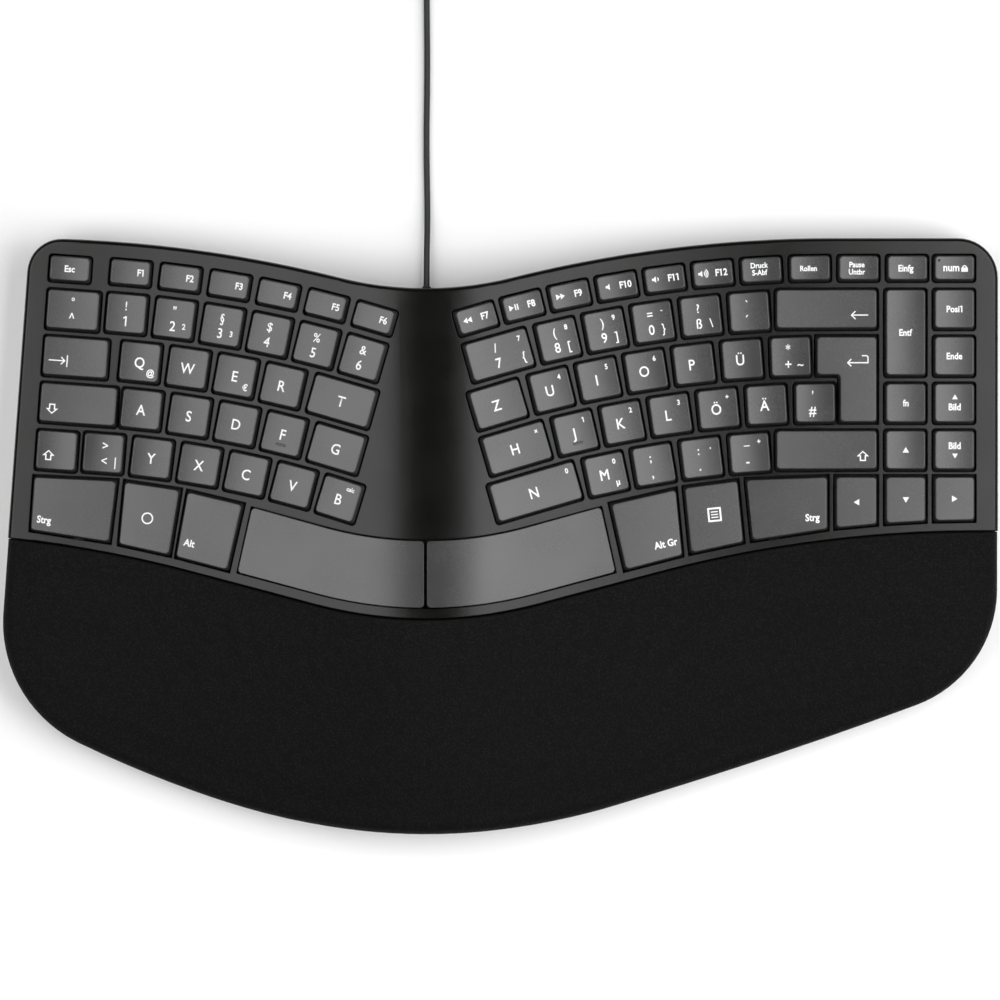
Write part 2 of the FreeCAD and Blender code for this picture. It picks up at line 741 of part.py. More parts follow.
def cap_master(kind, units):
    label = f"cap_{kind}_{units}".replace(".", "_")
    width = f"{units} * sizes.key_pitch - sizes.key_gap"
    depth = DEPTHS[kind]
    block = cap_wedge(label + "_block", width, depth, "0", f"sizes.cap_rise + {SPARE}")
    dished = cut(label + "_dished", block, dish_cutter(label + "_dish", width))
    corners = rounded(label + "_corners", dished, size("cap_corner"), is_upright)
    outside = rounded(label + "_outside", corners, size("cap_edge"), is_top)
    inner_top = "sizes.cap_rise - sizes.cap_wall"
    hollow = cap_wedge(label + "_hollow", width, depth, "sizes.cap_wall", inner_top)
    shell = cut(label + "_shell", outside, hollow)
    parts = [shell]
    for count, shift in enumerate(stem_shifts(cap_width(units))):
        parts.append(stem(f"{label}_stem_{count}", shift))
    if kind == "home":
        bar = named("Part::Box", label + "_bar")
        bind(
            bar,
            Length="sizes.home_bar_length",
            Width="sizes.home_bar_width",
            Height="sizes.home_bar_rise + sizes.cap_dish + sizes.cap_wall / 2",
        )
        bar.Placement = Placement(
            Vector(
                -size("home_bar_length") / 2,
                -size("row_step") / 4,
                size("cap_rise") - size("cap_dish") - size("cap_wall") / 2,
            ),
            Rotation(),
        )
        parts.append(bar)
    return fuse(label, parts)


def window_master(kind, units):
    """Straight opening a clearance larger than the foot of the cap."""
    label = f"window_{kind}_{units}".replace(".", "_")
    item = named("Part::Box", label)
    reach = "2 * sizes.window_gap"
    bind(
        item,
        Length=f"{units} * sizes.key_pitch - sizes.key_gap + 2 * sizes.cap_draft_side + {reach}",
        Width=f"{DEPTHS[kind]} + sizes.cap_draft_back + sizes.cap_draft_front + {reach}",
        Height="2 * sizes.wall",
    )
    doc.recompute()
    corner = Vector(-item.Length.Value / 2, 0, -1.5 * size("wall"))
    corner.y = size("cap_draft_back") - size("cap_draft_front") - item.Width.Value
    corner.y /= 2
    item.Placement = Placement(corner, Rotation())
    return rounded(label + "_round", item, size("cap_corner"), is_upright)


masters, windows = {}, {}
for key in keys.values():
    style = (key["kind"], key["units"])
    if style not in masters:
        masters[style] = cap_master(*style)
        windows[style] = window_master(*style)

nodes = []
window_tools = []
stem_places = []
dome_places = []
for node, names in GROUPS.items():
    copies = []
    for name in names.split():
        key, place = keys[name], key_place(name)
        style = (key["kind"], key["units"])
        copies += linked(f"{node}_{name}", masters[style], [place])
        window_tools += linked(f"window_{name}", windows[style], [place])
        dome_places.append(on_deck(key["side"], key["across"], key["along"], deck_lean(key["across"])))
        for shift in stem_shifts(cap_width(key["units"])):
            stem_places.append(place.multiply(Placement(Vector(shift, 0, 0), Rotation())))
    nodes.append(compound(node, copies))


# Caps with other outlines are lofted between two polygons in the plane of their place
def grown(points, distance):
    """Polygon, counter-clockwise, with each side moved out."""
    moved = []
    for before, corner, after in zip(points[-1:] + points[:-1], points, points[1:] + points[:1]):
        first, second = (corner - before).normalize(), (after - corner).normalize()
        out_first, out_second = Vector(first.y, -first.x, 0), Vector(second.y, -second.x, 0)
        share = distance / (1 + out_first.dot(out_second))
        moved.append(corner + (out_first + out_second) * share)
    return moved


def polygon_at(points, level):
    raised = [Vector(point.x, point.y, level) for point in points]
    return Part.makePolygon(raised + raised[:1])


def cap_loft(points, low, high):
    """Block whose sides lean in, with the given polygon at the height of a cap's top."""
    slope = size("cap_draft_side") / (size("cap_rise") + size("cap_skirt"))
    wires = []
    for level in (low, high):
        wires.append(polygon_at(grown(points, (size("cap_rise") - level) * slope), level))
    return Part.makeLoft(wires, True, True)


def outline_cap(points, shifts):
    """Hollow cap over a polygon, with a plunger at each of the given points."""
    block = cap_loft(points, -size("cap_skirt"), size("cap_rise"))
    block = block.makeFillet(size("cap_corner"), [edge for edge in block.Edges if is_upright(edge)])
    block = block.makeFillet(size("cap_edge"), [edge for edge in block.Edges if is_top(edge)])
    inner = grown(points, -size("cap_wall"))
    block = block.cut(cap_loft(inner, -size("cap_skirt"), size("cap_rise") - size("cap_wall")))
    length = size("stem_reach") + size("cap_rise") - size("cap_wall") / 2
    stems = []
    for shift in shifts:
        stems.append(Part.makeCylinder(size("stem_radius"), length, shift + UP * -size("stem_reach")))
    return block.fuse(stems)


def outline_window(points):
    opening = polygon_at(grown(points, size("cap_draft_side") + size("window_gap")), -1.5 * size("wall"))
    return Part.Face(opening).extrude(UP * (2.5 * size("wall")))


def add_outline_key(node, place, points, shifts):
    nodes.append(feature(node, outline_cap(points, shifts), place))
    window_tools.append(feature("window_" + node, outline_window(points), place))
    dome_places.append(place)
    for shift in shifts:
        stem_places.append(place.multiply(Placement(shift, Rotation())))


def counter_clockwise(points):
    area = sum(a.x * b.y - b.x * a.y for a, b in zip(points, points[1:] + points[:1]))
    return points if area > 0 else points[::-1]


# Enter: as wide as a key and a half above, narrower below
enter_right = BLOCK_EDGE
enter_left = enter_right - cap_width(1.42)
enter_step = enter_right - cap_width(0.945)
half_row = (size("row_step") - size("row_gap")) / 2
enter_top = row_along(enter_left, upper_row) + half_row
enter_notch = enter_top - 2 * half_row
enter_foot = row_along(enter_left, home_row) - half_row
enter_place = on_deck(RIGHT, (enter_left + enter_right) / 2, (enter_top + enter_foot) / 2, 0.0)
enter_points = [
    (enter_step, enter_foot),
    (enter_right, enter_foot),
    (enter_right, enter_top),
    (enter_left, enter_top),
    (enter_left, enter_notch),
    (enter_step, enter_notch),
]
enter_origin = enter_place.Base - Vector(ridge_x, 0, 0)
enter_points = [Vector(x - enter_origin.x, y - enter_origin.y, 0) for x, y in enter_points]
enter_stem = Vector((enter_points[0].x + enter_points[1].x) / 2, 0, 0)
add_outline_key("key_enter", enter_place, enter_points, [enter_stem])
group_lean["key_enter"] = 0.0


def cap_top_point(place, side, across, along):
    """A point on the top of the caps, in the plane of a key's place."""
    spot = Vector(ridge_x + side * across, along, deck_height(across, -size("cap_rise")))
    point = place.inverse().multVec(spot)
    return Vector(point.x, point.y, 0)


for name, (side, back_in, back_out, front_in, front_out) in FRONT_ROW.items():
    if name.startswith("space"):
        continue
    corners = [
        (back_in, front_back(back_in)),
        (back_out, front_back(back_out)),
        (front_out, front_front(front_out)),
        (front_in, front_front(front_in)),
    ]
    middle = sum(corner[0] for corner in corners) / 4
    along = sum(corner[1] for corner in corners) / 4
    place = on_deck(side, middle, along, deck_lean(middle))
    points = [cap_top_point(place, side, *corner) for corner in corners]
    node = "key_" + name
    group_lean[node] = deck_lean(middle)
    add_outline_key(node, place, counter_clockwise(points), [Vector()])

# Space bars: their tops follow the deck, and they meet at the ridge line.  Their inner ends are
# upright, and all other sides run along the axis of travel.
cap_layer = deck_layer("cap_layer", -size("cap_rise"), size("cap_skirt"))
cap_hollow_layer = deck_layer("cap_hollow_layer", size("cap_wall") - size("cap_rise"))
SPACE_STEMS = (-26.0, 0.0, 26.0)
doc.recompute()


def space_column(side, corners, axis, level, grow):
    """Slanting column over a space bar's outline, grown by a distance, past the ridge line."""
    back_in, back_out, front_in, front_out = corners

    def at(across, along):
        return Vector(ridge_x + side * across, along, 0)

    def back(across):
        return front_back(across) + grow

    def front(across):
        return front_front(across) - grow

    start = -SPACE_SPLIT
    edges = bend(back, front_back_joints, start, back_out + grow, at)
    edges += bend(front, front_front_joints, start, front_out + grow, at)
    for u, v in ((start, start), (back_out + grow, front_out + grow)):
        edges.append(Part.LineSegment(at(u, back(u)), at(v, front(v))).toShape())
    outline = Part.Face(Part.Wire(Part.__sortEdges__(edges)))
    reach = level / axis.z
    return outline.translated(UP * level - axis * (reach / 2)).extrude(axis * reach)


def beyond(side, across):
    """Everything on one side of the case, from a distance off the ridge line."""
    box = Part.makeBox(FAR, 2 * FAR, 2 * FAR, Vector(0, -FAR, -FAR))
    if side < 0:
        box = box.mirror(Vector(), Vector(1, 0, 0))
    return box.translated(Vector(ridge_x + side * across, 0, 0))


for name in ("space_left", "space_right"):
    side, *corners = FRONT_ROW[name]
    middle = (corners[0] + corners[3]) / 2
    along = (front_back(middle) + front_front(middle)) / 2
    place = on_deck(side, middle, along, SPACE_LEAN)
    axis = place.Rotation.multVec(UP)
    level = deck_height(middle, -size("cap_rise"))
    outside = space_column(side, corners, axis, level, 0.0).common(cap_layer.Shape)
    outside = outside.common(beyond(side, SPACE_SPLIT))
    short = [edge for edge in outside.Edges if is_upright(edge) and edge.Length < size("row_gap") * 2]
    outside = outside.makeFillet(size("cap_corner"), short)
    hollow = space_column(side, corners, axis, level, -size("cap_wall"))
    hollow = hollow.common(cap_hollow_layer.Shape)
    hollow = hollow.common(beyond(side, SPACE_SPLIT + size("cap_wall")))
    shell = outside.cut(hollow)
    stems = []
    for shift in SPACE_STEMS:
        spot = place.multiply(Placement(Vector(shift, 0, 0), Rotation()))
        surface = deck_height(spot.Base.x - ridge_x)
        spot.Base = spot.Base + axis * ((surface - spot.Base.z) / axis.z)
        low = spot.multVec(UP * -size("stem_reach"))
        length = size("stem_reach") + size("cap_rise") - size("cap_wall") / 2
        stems.append(Part.makeCylinder(size("stem_radius"), length, low, axis))
        stem_places.append(spot)
    node = "key_" + name
    nodes.append(feature(node, shell.fuse(stems)))
    group_lean[node] = SPACE_LEAN
    dome_places.append(on_deck(side, middle, along, deck_lean(middle)))

# Both space bars stand in one upright opening, since the deck there is only a wall thick
gap = size("window_gap")
end_gap = gap - math.tan(math.radians(SPACE_LEAN)) * (size("cap_rise") + size("wall") / 2)
ends_at_back = -FRONT_ROW["space_left"][2] - end_gap, FRONT_ROW["space_right"][2] + end_gap
ends_at_front = -FRONT_ROW["space_left"][4] - end_gap, FRONT_ROW["space_right"][4] + end_gap
opening_edges = bend(lambda u: front_back(u) + gap, front_back_joints, *ends_at_back, in_plan)
opening_edges += bend(lambda u: front_front(u) - gap, front_front_joints, *ends_at_front, in_plan)
for u, v in zip(ends_at_back, ends_at_front):
    line = Part.LineSegment(in_plan(u, front_back(u) + gap), in_plan(v, front_front(v) - gap))
    opening_edges.append(line.toShape())
opening = Part.Face(Part.Wire(Part.__sortEdges__(opening_edges)))
opening = opening.translated(UP * (size("deck_level") - size("cap_rise")))
window_tools.append(feature("window_spaces", opening.extrude(UP * size("deck_level"))))


def block(label, length, width, height, corner):
    item = named("Part::Box", label, Placement=Placement(corner, Rotation()))
    return bind(item, Length=length, Width=width, Height=height)


def rod(label, radius, height, place):
    item = named("Part::Cylinder", label, Placement=place)
    return bind(item, Radius=radius, Height=height)


def upright_rods(label, radius, height, level, spots):
    """Equal rods that stand on one level."""
    first = rod(label, radius, height, Placement())
    return linked(label, first, [Placement(Vector(x, y, level), Rotation()) for x, y in spots])


def rounded_edges(label, base, choices):
    """Fillets of different radii.  Each choice is a radius and a test for its edges."""
    doc.recompute()
    item = named("Part::Fillet", label, Base=base)
    edges = []
    for radius, test in choices:
        edges += [(index, radius, radius) for index in edges_where(base.Shape, test)]
    item.Edges = edges
    return item


def middle_of(edge):
    return edge.valueAt((edge.FirstParameter + edge.LastParameter) / 2)


def on_rim(face, edge):
    """Whether an upper edge of a block lies over the outline of its plan."""
    if min(vertex.Z for vertex in edge.Vertexes) < size("split_level") + 1:
        return False
    middle = middle_of(edge)
    foot = Part.Vertex(middle.x, middle.y, 0)
    upright_edge = edge.Curve.TypeId == "Part::GeomLine" and abs(edge.tangentAt(0).z) > 0.9
    return not upright_edge and face.OuterWire.distToShape(foot)[0] < size("seam_gap") / 10


def beside(edge, curve):
    """Whether an edge lies along a curve in plan."""
    middle = middle_of(edge)
    return abs(middle.y - curve(middle.x - ridge_x)) < size("seam_gap") / 10


# Where the screws stand
boss_inset = size("boss_inset")


def near_curve(curve, across, step):
    """Point in plan a step inside a curve."""
    slope = math.atan(curve(across + STEP) - curve(across))
    return ridge_x + across, curve(across) + step / math.cos(slope)


seam_line = seam_curve(0.0)[0]
case_spots = [near_curve(back_edge, across, -boss_inset) for across in (-140, -70, 66, 150, 200)]
case_spots += [near_curve(seam_line, across, boss_inset) for across in (-135, -45, 45, 135)]
SIDE_SCREW = 40.0
case_spots.append((left_side(SIDE_SCREW) + boss_inset, SIDE_SCREW))
case_spots.append((ridge_x + right_back - boss_inset, SIDE_SCREW))
palm_spots = [
    (ridge_x + across, along)
    for across, along in ((-118, -30), (-45, -62), (45, -62), (125, -34), (0, -80))
]
clamp_spots = [
    (ridge_x + side * size("clamp_screw"), size("clamp_along")) for side in (LEFT, RIGHT)
]

# The top cover: a wall and a deck with a window for each key
LOW = "sizes.split_level"
HIGH = "3 * sizes.deck_level"
under_deck = deck_layer("under_deck", 0.0)
under_skin = deck_layer("under_skin", size("wall"))
case_block = common("case_block", prism("case_prism", case_plan, LOW, HIGH), under_deck)
case_rounded = rounded_edges(
    "case_rounded",
    case_block,
    [
        (size("edge_round"), lambda e: on_rim(case_face, e) and not beside(e, seam_line)),
        (size("seam_edge_round"), lambda e: on_rim(case_face, e) and beside(e, seam_line)),
    ],
)
case_inner_plan = feature("case_inner_plan", inset(case_face, size("wall")))
case_hollow = common("case_hollow", prism("hollow_prism", case_inner_plan, "0", HIGH), under_skin)
case_shell = cut("case_shell", case_rounded, case_hollow)
case_bosses = upright_rods(
    "case_boss", "sizes.boss_radius", "sizes.boss_height", size("split_level"), case_spots
)
hold_spots = [(ridge_x, along) for along in (20.0, 50.0, 80.0)]
hold_rods = upright_rods("hold_rod", "sizes.hold_radius", HIGH, 0.0, hold_spots)
hold_layer = deck_layer("hold_layer", size("wall") / 2, size("guide_drop"))
hold_posts = common("hold_posts", compound("hold_rods", hold_rods), hold_layer)
case_body = fuse("case_body", [case_shell, hold_posts, *case_bosses])
SHANK_HOLE = "sizes.screw_radius + sizes.screw_gap"
PILOT_DEPTH = "sizes.boss_height - sizes.boss_end"
case_pilots = upright_rods("case_pilot", SHANK_HOLE, PILOT_DEPTH, size("split_level"), case_spots)
case_openings = compound("case_openings", [*window_tools, *case_pilots])
top_cover = cut("top_cover", case_body, case_openings)

# The guide plate, with a sleeve for each plunger and a rim that holds the sheets down
guide_plate = common(
    "guide_plate",
    prism("guide_prism", plate_plan, "0", HIGH),
    deck_layer("guide_layer", size("guide_drop"), size("guide_drop") + size("guide_thickness")),
)
rim_face = plate_face.cut(inset(plate_face, size("rim_width")))
rim_plan = feature("rim_plan", rim_face)
rim_foot = size("sheet_drop") - size("sheet_gap")
guide_rim = common(
    "guide_rim",
    prism("rim_prism", rim_plan, "0", HIGH),
    deck_layer("rim_layer", size("guide_drop") + size("guide_thickness") / 2, rim_foot),
)
dome_feet = Placement(Vector(0, 0, size("dome_seat") - size("sheet_drop")), Rotation())
dome_spots = [place.multiply(dome_feet) for place in dome_places]
room = rod("room", "sizes.dome_radius + sizes.dome_room", "sizes.sheet_drop", Placement())
rim_rooms = compound("rim_rooms", linked("room_copy", room, dome_spots))
open_rim = cut("open_rim", guide_rim, rim_rooms)
sleeve = rod(
    "sleeve",
    "sizes.stem_radius + sizes.sleeve_gap + sizes.sleeve_wall",
    "sizes.guide_drop + sizes.guide_thickness / 2 - sizes.sleeve_top",
    Placement(),
)
bore = rod("bore", "sizes.stem_radius + sizes.sleeve_gap", "sizes.sheet_drop", Placement())
sleeve_foot = Placement(Vector(0, 0, -size("guide_drop") - size("guide_thickness") / 2), Rotation())
bore_foot = Placement(Vector(0, 0, -size("sheet_drop")), Rotation())
sleeves = linked("sleeve_copy", sleeve, [place.multiply(sleeve_foot) for place in stem_places])
bores = linked("bore_copy", bore, [place.multiply(bore_foot) for place in stem_places])
guide_body = fuse("guide_body", [guide_plate, open_rim, *sleeves])
key_guide_plate = cut("key_guide_plate", guide_body, compound("guide_bores", bores))

# Domes, one under the middle plunger of each key
dome_height = "sizes.sheet_drop - sizes.dome_seat - sizes.stem_reach - sizes.dome_gap"
dome_outside = named("Part::Cone", "dome_outside")
bind(dome_outside, Radius1="sizes.dome_radius", Radius2="sizes.dome_top_radius", Height=dome_height)
dome_inside = named("Part::Cone", "dome_inside")
bind(
    dome_inside,
    Radius1="sizes.dome_radius - sizes.dome_wall",
    Radius2="sizes.dome_top_radius - sizes.dome_wall",
    Height=f"{dome_height} - sizes.dome_wall",
)
dome = cut("dome", dome_outside, dome_inside)
rubber_domes = compound("rubber_domes", linked("dome_copy", dome, dome_spots))

# The sheets of the membrane and the steel plate under them
sheet_prism = prism("sheet_prism", plate_plan, "0", HIGH)
thin = size("sheet_thickness")
sheet_pitch = thin + size("sheet_gap")


def sheet_layer(label, count):
    upper = size("sheet_drop") + count * sheet_pitch
    return deck_layer(label, upper, upper + thin)


membrane_top = common("membrane_top", sheet_prism, sheet_layer("top_layer", 0))
spacer_sheet = common("spacer_sheet", sheet_prism, sheet_layer("spacer_layer", 1))
contact = rod("contact_hole", "sizes.spacer_hole", "2 * sizes.wall", Placement())
contact_foot = Placement(Vector(0, 0, -size("sheet_drop") - size("wall")), Rotation())
contacts = linked("contact", contact, [place.multiply(contact_foot) for place in dome_places])
membrane_spacer = cut("membrane_spacer", spacer_sheet, compound("contact_holes", contacts))
bottom_sheet = common("bottom_sheet", sheet_prism, sheet_layer("bottom_layer", 2))

plate_back = back_low - size("plate_inset")
tail_back = plate_back + size("tail_over")
tail_front = tail_back - size("tail_reach")
tail_left = ridge_x - size("tail_width") / 2
tail_over = common(
    "tail_over",
    block(
        "tail_over_block",
        "sizes.tail_width",
        f"{tail_back - plate_back + 1.0}",
        HIGH,
        Vector(tail_left, plate_back - 1.0, 0),
    ),
    sheet_layer("tail_layer", 2),
)
tail_drop = common(
    "tail_drop",
    block(
        "tail_drop_block",
        "sizes.tail_width",
        "sizes.sheet_thickness",
        HIGH,
        Vector(tail_left, tail_back - thin, size("board_level")),
    ),
    deck_layer("under_tail", size("sheet_drop") + 2 * sheet_pitch),
)
tail_foot = block(
    "tail_foot",
    "sizes.tail_width",
    f"{tail_back - tail_front}",
    "sizes.sheet_thickness",
    Vector(tail_left, tail_front, size("board_level")),
)
membrane_bottom = fuse("membrane_bottom", [bottom_sheet, tail_over, tail_drop, tail_foot])
plate_top = size("sheet_drop") + 3 * sheet_pitch
plate_low = plate_top + size("steel_thickness")
steel_plate = common(
    "steel_plate",
    prism("steel_prism", plate_plan, "0", HIGH),
    deck_layer("steel_layer", plate_top, plate_low),
)

# The controller board under the plate, and the bar that clamps the tail to it
board_corner = Vector(ridge_x - size("board_length") / 2, size("board_front"), 0)
board_corner.z = size("board_level") - size("board_thickness")
board_blank = block(
    "board_blank", "sizes.board_length", "sizes.board_width", "sizes.board_thickness", board_corner
)
clamp_holes = upright_rods(
    "clamp_hole", SHANK_HOLE, "sizes.deck_level", size("split_level"), clamp_spots
)
clamp_bores = compound("clamp_bores", clamp_holes)
controller_board = cut("controller_board", board_blank, clamp_bores)
chip_corner = Vector(ridge_x - size("chip_across"), size("board_front"), size("board_level"))
chip_corner.y += size("chip_along")
controller_chip = block(
    "controller_chip", "sizes.chip_side", "sizes.chip_side", "sizes.chip_height", chip_corner
)
clamp_corner = Vector(ridge_x - size("clamp_length") / 2, size("clamp_along"), 0)
clamp_corner.y -= size("clamp_width") / 2
clamp_corner.z = size("board_level") + thin
clamp_blank = block(
    "clamp_blank", "sizes.clamp_length", "sizes.clamp_width", "sizes.clamp_height", clamp_corner
)
membrane_clamp = cut("membrane_clamp", clamp_blank, clamp_bores)

# The palm rest.  Its section turns about an axis along X far below, so that it falls away
# towards the front.
palm_reach = size("palm_back") - front_y
palm_turn = (palm_reach ** 2 + size("palm_drop") ** 2) / (2 * size("palm_drop"))
palm_angle = 1.2 * math.degrees(palm_reach / palm_turn)


def under_palm(label, drop):
    """All that is under a layer of the palm rest."""
    base = section(label, drop, None, size("palm_back"))
    item = named("Part::Revolution", label, Source=base, Axis=Vector(1, 0, 0), Solid=True)
    item.Base = Vector(0, size("palm_back"), size("deck_level") - palm_turn)
    item.Angle = palm_angle
    return item


def palm_block(label, step, drop):
    plan = feature(label + "_plan", inset(palm_face, step) if step else palm_face)
    return common(label, prism(label + "_prism", plan, LOW, HIGH), under_palm(label + "_skin", drop))


palm_line = seam_curve(-size("seam_gap"))[0]
skin = size("cover_thickness")
padding = skin + size("foam_thickness")
foam_face = inset(palm_face, skin)
foam_line = seam_curve(-size("seam_gap") - skin)[0]
palm_outside = palm_block("palm_outside", 0.0, 0.0)
palm_rounded = rounded_edges(
    "palm_rounded",
    palm_outside,
    [
        (size("palm_nose"), lambda e: on_rim(palm_face, e) and not beside(e, palm_line)),
        (size("palm_seam_round"), lambda e: on_rim(palm_face, e) and beside(e, palm_line)),
    ],
)
palm_foam_outside = rounded_edges(
    "palm_foam_outside",
    palm_block("palm_foam_block", skin, skin),
    [(size("palm_nose") - skin, lambda e: on_rim(foam_face, e) and not beside(e, foam_line))],
)
palm_rest_cover = cut("palm_rest_cover", palm_rounded, palm_foam_outside)
palm_base_outside = palm_block("palm_base_outside", skin, padding)
palm_rest_foam = cut("palm_rest_foam", palm_foam_outside, palm_base_outside)
palm_hollow = palm_block("palm_hollow", skin + size("wall"), padding + size("wall"))
palm_shell = cut("palm_shell", palm_base_outside, palm_hollow)
palm_rods = upright_rods("palm_rod", "sizes.boss_radius", HIGH, size("split_level"), palm_spots)
palm_bosses = common(
    "palm_bosses",
    compound("palm_rods", palm_rods),
    under_palm("palm_boss_top", padding + size("wall") / 2),
)
palm_pilots = upright_rods("palm_pilot", SHANK_HOLE, PILOT_DEPTH, size("split_level"), palm_spots)
palm_rest_base = cut(
    "palm_rest_base",
    fuse("palm_base_body", [palm_shell, palm_bosses]),
    compound("palm_pilots", palm_pilots),
)

# The bottom cover: a floor with a low wall, posts under the steel plate and a rib under the seam
floor_top = size("floor_level") + size("floor_thickness")
bottom_blank = rounded_edges(
    "bottom_blank",
    prism("bottom_prism", whole_plan, "sizes.floor_level", LOW),
    [(size("floor_round"), lambda e: max(v.Z for v in e.Vertexes) < size("floor_level") + thin)],
)
whole_inner_plan = feature("whole_inner_plan", inset(outline_face, size("wall")))
bottom_hollow = prism(
    "bottom_hollow", whole_inner_plan, "sizes.floor_level + sizes.floor_thickness", HIGH
)
bottom_shell = cut("bottom_shell", bottom_blank, bottom_hollow)
rib_back = size("wall") + size("seam_gap")
rib_front = -rib_back - size("wall")
rib_face = inset(outline_face, size("wall") / 2).common(beside_seam(rib_front, 1))
rib_plan = feature("rib_plan", rib_face.common(beside_seam(rib_back, -1)).Faces[0])
seam_rib = prism("seam_rib", rib_plan, "sizes.floor_level + sizes.floor_thickness / 2", LOW)
POSTS = [
    (-175, 92),
    (-175, 25),
    (-120, 85),
    (-120, 12),
    (-75, 70),
    (-75, 0),
    (ridge_x, -18),
    (ridge_x, 30),
    (18, 70),
    (18, 0),
    (70, 90),
    (70, 12),
    (120, 98),
    (120, 22),
    (178, 98),
    (178, 16),
]
post_foot = floor_top - size("floor_thickness") / 2
post_rods = upright_rods("post_rod", "sizes.post_radius", HIGH, post_foot, POSTS)
posts = common("posts", compound("post_rods", post_rods), deck_layer("under_plate", plate_low))
screw_spots = case_spots + palm_spots
low_bosses = upright_rods(
    "low_boss",
    "sizes.boss_radius",
    "sizes.split_level - sizes.floor_level - sizes.floor_thickness / 2",
    post_foot,
    screw_spots,
)
board_support = size("post_radius") + 1
board_spots = clamp_spots + [
    (
        ridge_x + side * (size("board_length") / 2 - board_support),
        size("board_front") + board_support,
    )
    for side in (LEFT, RIGHT)
]
board_posts = upright_rods(
    "board_post",
    "sizes.post_radius",
    "sizes.board_level - sizes.board_thickness - sizes.floor_level - sizes.floor_thickness / 2",
    post_foot,
    board_spots,
)
floor_holes = upright_rods("floor_hole", SHANK_HOLE, HIGH, 0.0, screw_spots)
head_holes = upright_rods(
    "head_hole",
    "sizes.screw_head_radius + sizes.screw_gap",
    "sizes.screw_head_height",
    size("floor_level"),
    screw_spots,
)
post_pilots = upright_rods("post_pilot", SHANK_HOLE, HIGH, floor_top + thin, clamp_spots)
FOOT_SPOTS = [
    (-150, 88),
    (145, 92),
    (-140, -70),
    (140, -58),
    (ridge_x, -100),
    (ridge_x, 10),
]
foot_block = block(
    "foot_block",
    "sizes.foot_length",
    "sizes.foot_width",
    "sizes.floor_level + sizes.foot_recess",
    Vector(-size("foot_length") / 2, -size("foot_width") / 2, 0),
)
foot_middle = (size("floor_level") + size("foot_recess")) / 2
foot = rounded(
    "foot", foot_block, size("foot_width") / 4, lambda e: abs(middle_of(e).z - foot_middle) < 0.1
)
foot_places = [Placement(Vector(x, y, 0), Rotation()) for x, y in FOOT_SPOTS]
feet = linked("foot_copy", foot, foot_places)
rubber_feet = compound("rubber_feet", feet)

# The strain relief in the back wall, on the ridge line
BACKWARD = Rotation(Vector(1, 0, 0), -90)
wall_inside = back_low - size("wall")
lead_end = wall_inside - size("grommet_flange")


def exit_rod(label, radius, start, end):
    centre = Vector(ridge_x, start, size("exit_level"))
    return rod(label, radius, f"{end - start}", Placement(centre, BACKWARD))


flange_pocket = exit_rod("flange_pocket", "sizes.grommet_radius", lead_end, wall_inside)
exit_hole = exit_rod("exit_hole", "sizes.grommet_neck", lead_end, back_low + 1)
bottom_body = fuse("bottom_body", [bottom_shell, seam_rib, posts, *low_bosses, *board_posts])
bottom_cuts = [*floor_holes, *head_holes, *post_pilots, *feet, flange_pocket, exit_hole]
bottom_cover = cut("bottom_cover", bottom_body, compound("bottom_cuts", bottom_cuts))

inner_flange = exit_rod("inner_flange", "sizes.grommet_radius", lead_end, wall_inside)
neck = exit_rod("neck", "sizes.grommet_neck", lead_end, back_low + 0.5)
sleeve_tail = named("Part::Cone", "sleeve_tail")
bind(
    sleeve_tail,
    Radius1="sizes.grommet_radius",
    Radius2="sizes.grommet_tip",
    Height="sizes.grommet_tail",
)
tail_start = back_low + size("grommet_seat")
sleeve_tail.Placement = Placement(Vector(ridge_x, tail_start, size("exit_level")), BACKWARD)
relief_end = tail_start + size("grommet_tail")
cable_bore = exit_rod("cable_bore", "sizes.cable_diameter / 2", lead_end - 1, relief_end + 1)
relief_body = fuse("relief_body", [inner_flange, neck, sleeve_tail])
strain_relief = cut("strain_relief", relief_body, cable_bore)

# The screws
shank = rod("shank", "sizes.screw_radius", "sizes.screw_length", Placement())
head_place = Placement(Vector(0, 0, -size("screw_head_height")), Rotation())
head = rod("head", "sizes.screw_head_radius", "sizes.screw_head_height", head_place)
screw = fuse("screw", [shank, head])
head_under = size("floor_level") + size("screw_head_height")
screw_places = [Placement(Vector(x, y, head_under), Rotation()) for x, y in screw_spots]
clamp_top = size("board_level") + thin + size("clamp_height")
UPSIDE_DOWN = Rotation(Vector(1, 0, 0), 180)
screw_places += [Placement(Vector(x, y, clamp_top), UPSIDE_DOWN) for x, y in clamp_spots]
screws = compound("screws", linked("screw_copy", screw, screw_places))

# The cable.  A route is straight runs that are joined by arcs.
cable_radius = size("cable_diameter") / 2
layer_step = size("cable_diameter") + size("coil_gap")
coil_level = size("tie_thickness") + cable_radius
lead_in = size("cable_diameter")
coil_start = size("coil_distance") - lead_in


def arc_at_corner(start, corner, end):
    """Arc between two points at the same distance from the corner where their tangents meet."""
    weight = (end - start).Length / (2 * (corner - start).Length)
    return Part.Arc(start, (start + corner * (2 * weight) + end) / (2 + 2 * weight), end)


def route_edges(points):
    """Runs between the points, each corner rounded as far as its two runs allow."""
    edges, last, radii = [], points[0], []
    for before, corner, after in zip(points, points[1:], points[2:]):
        incoming, outgoing = corner - before, after - corner
        reach = 0.45 * min(incoming.Length, outgoing.Length)
        radii.append(reach / math.tan(incoming.getAngle(outgoing) / 2))
        start = corner - incoming.normalize() * reach
        end = corner + outgoing.normalize() * reach
        edges.append(Part.LineSegment(last, start).toShape())
        edges.append(arc_at_corner(start, corner, end).toShape())
        last = end
    edges.append(Part.LineSegment(last, points[-1]).toShape())
    return edges, radii


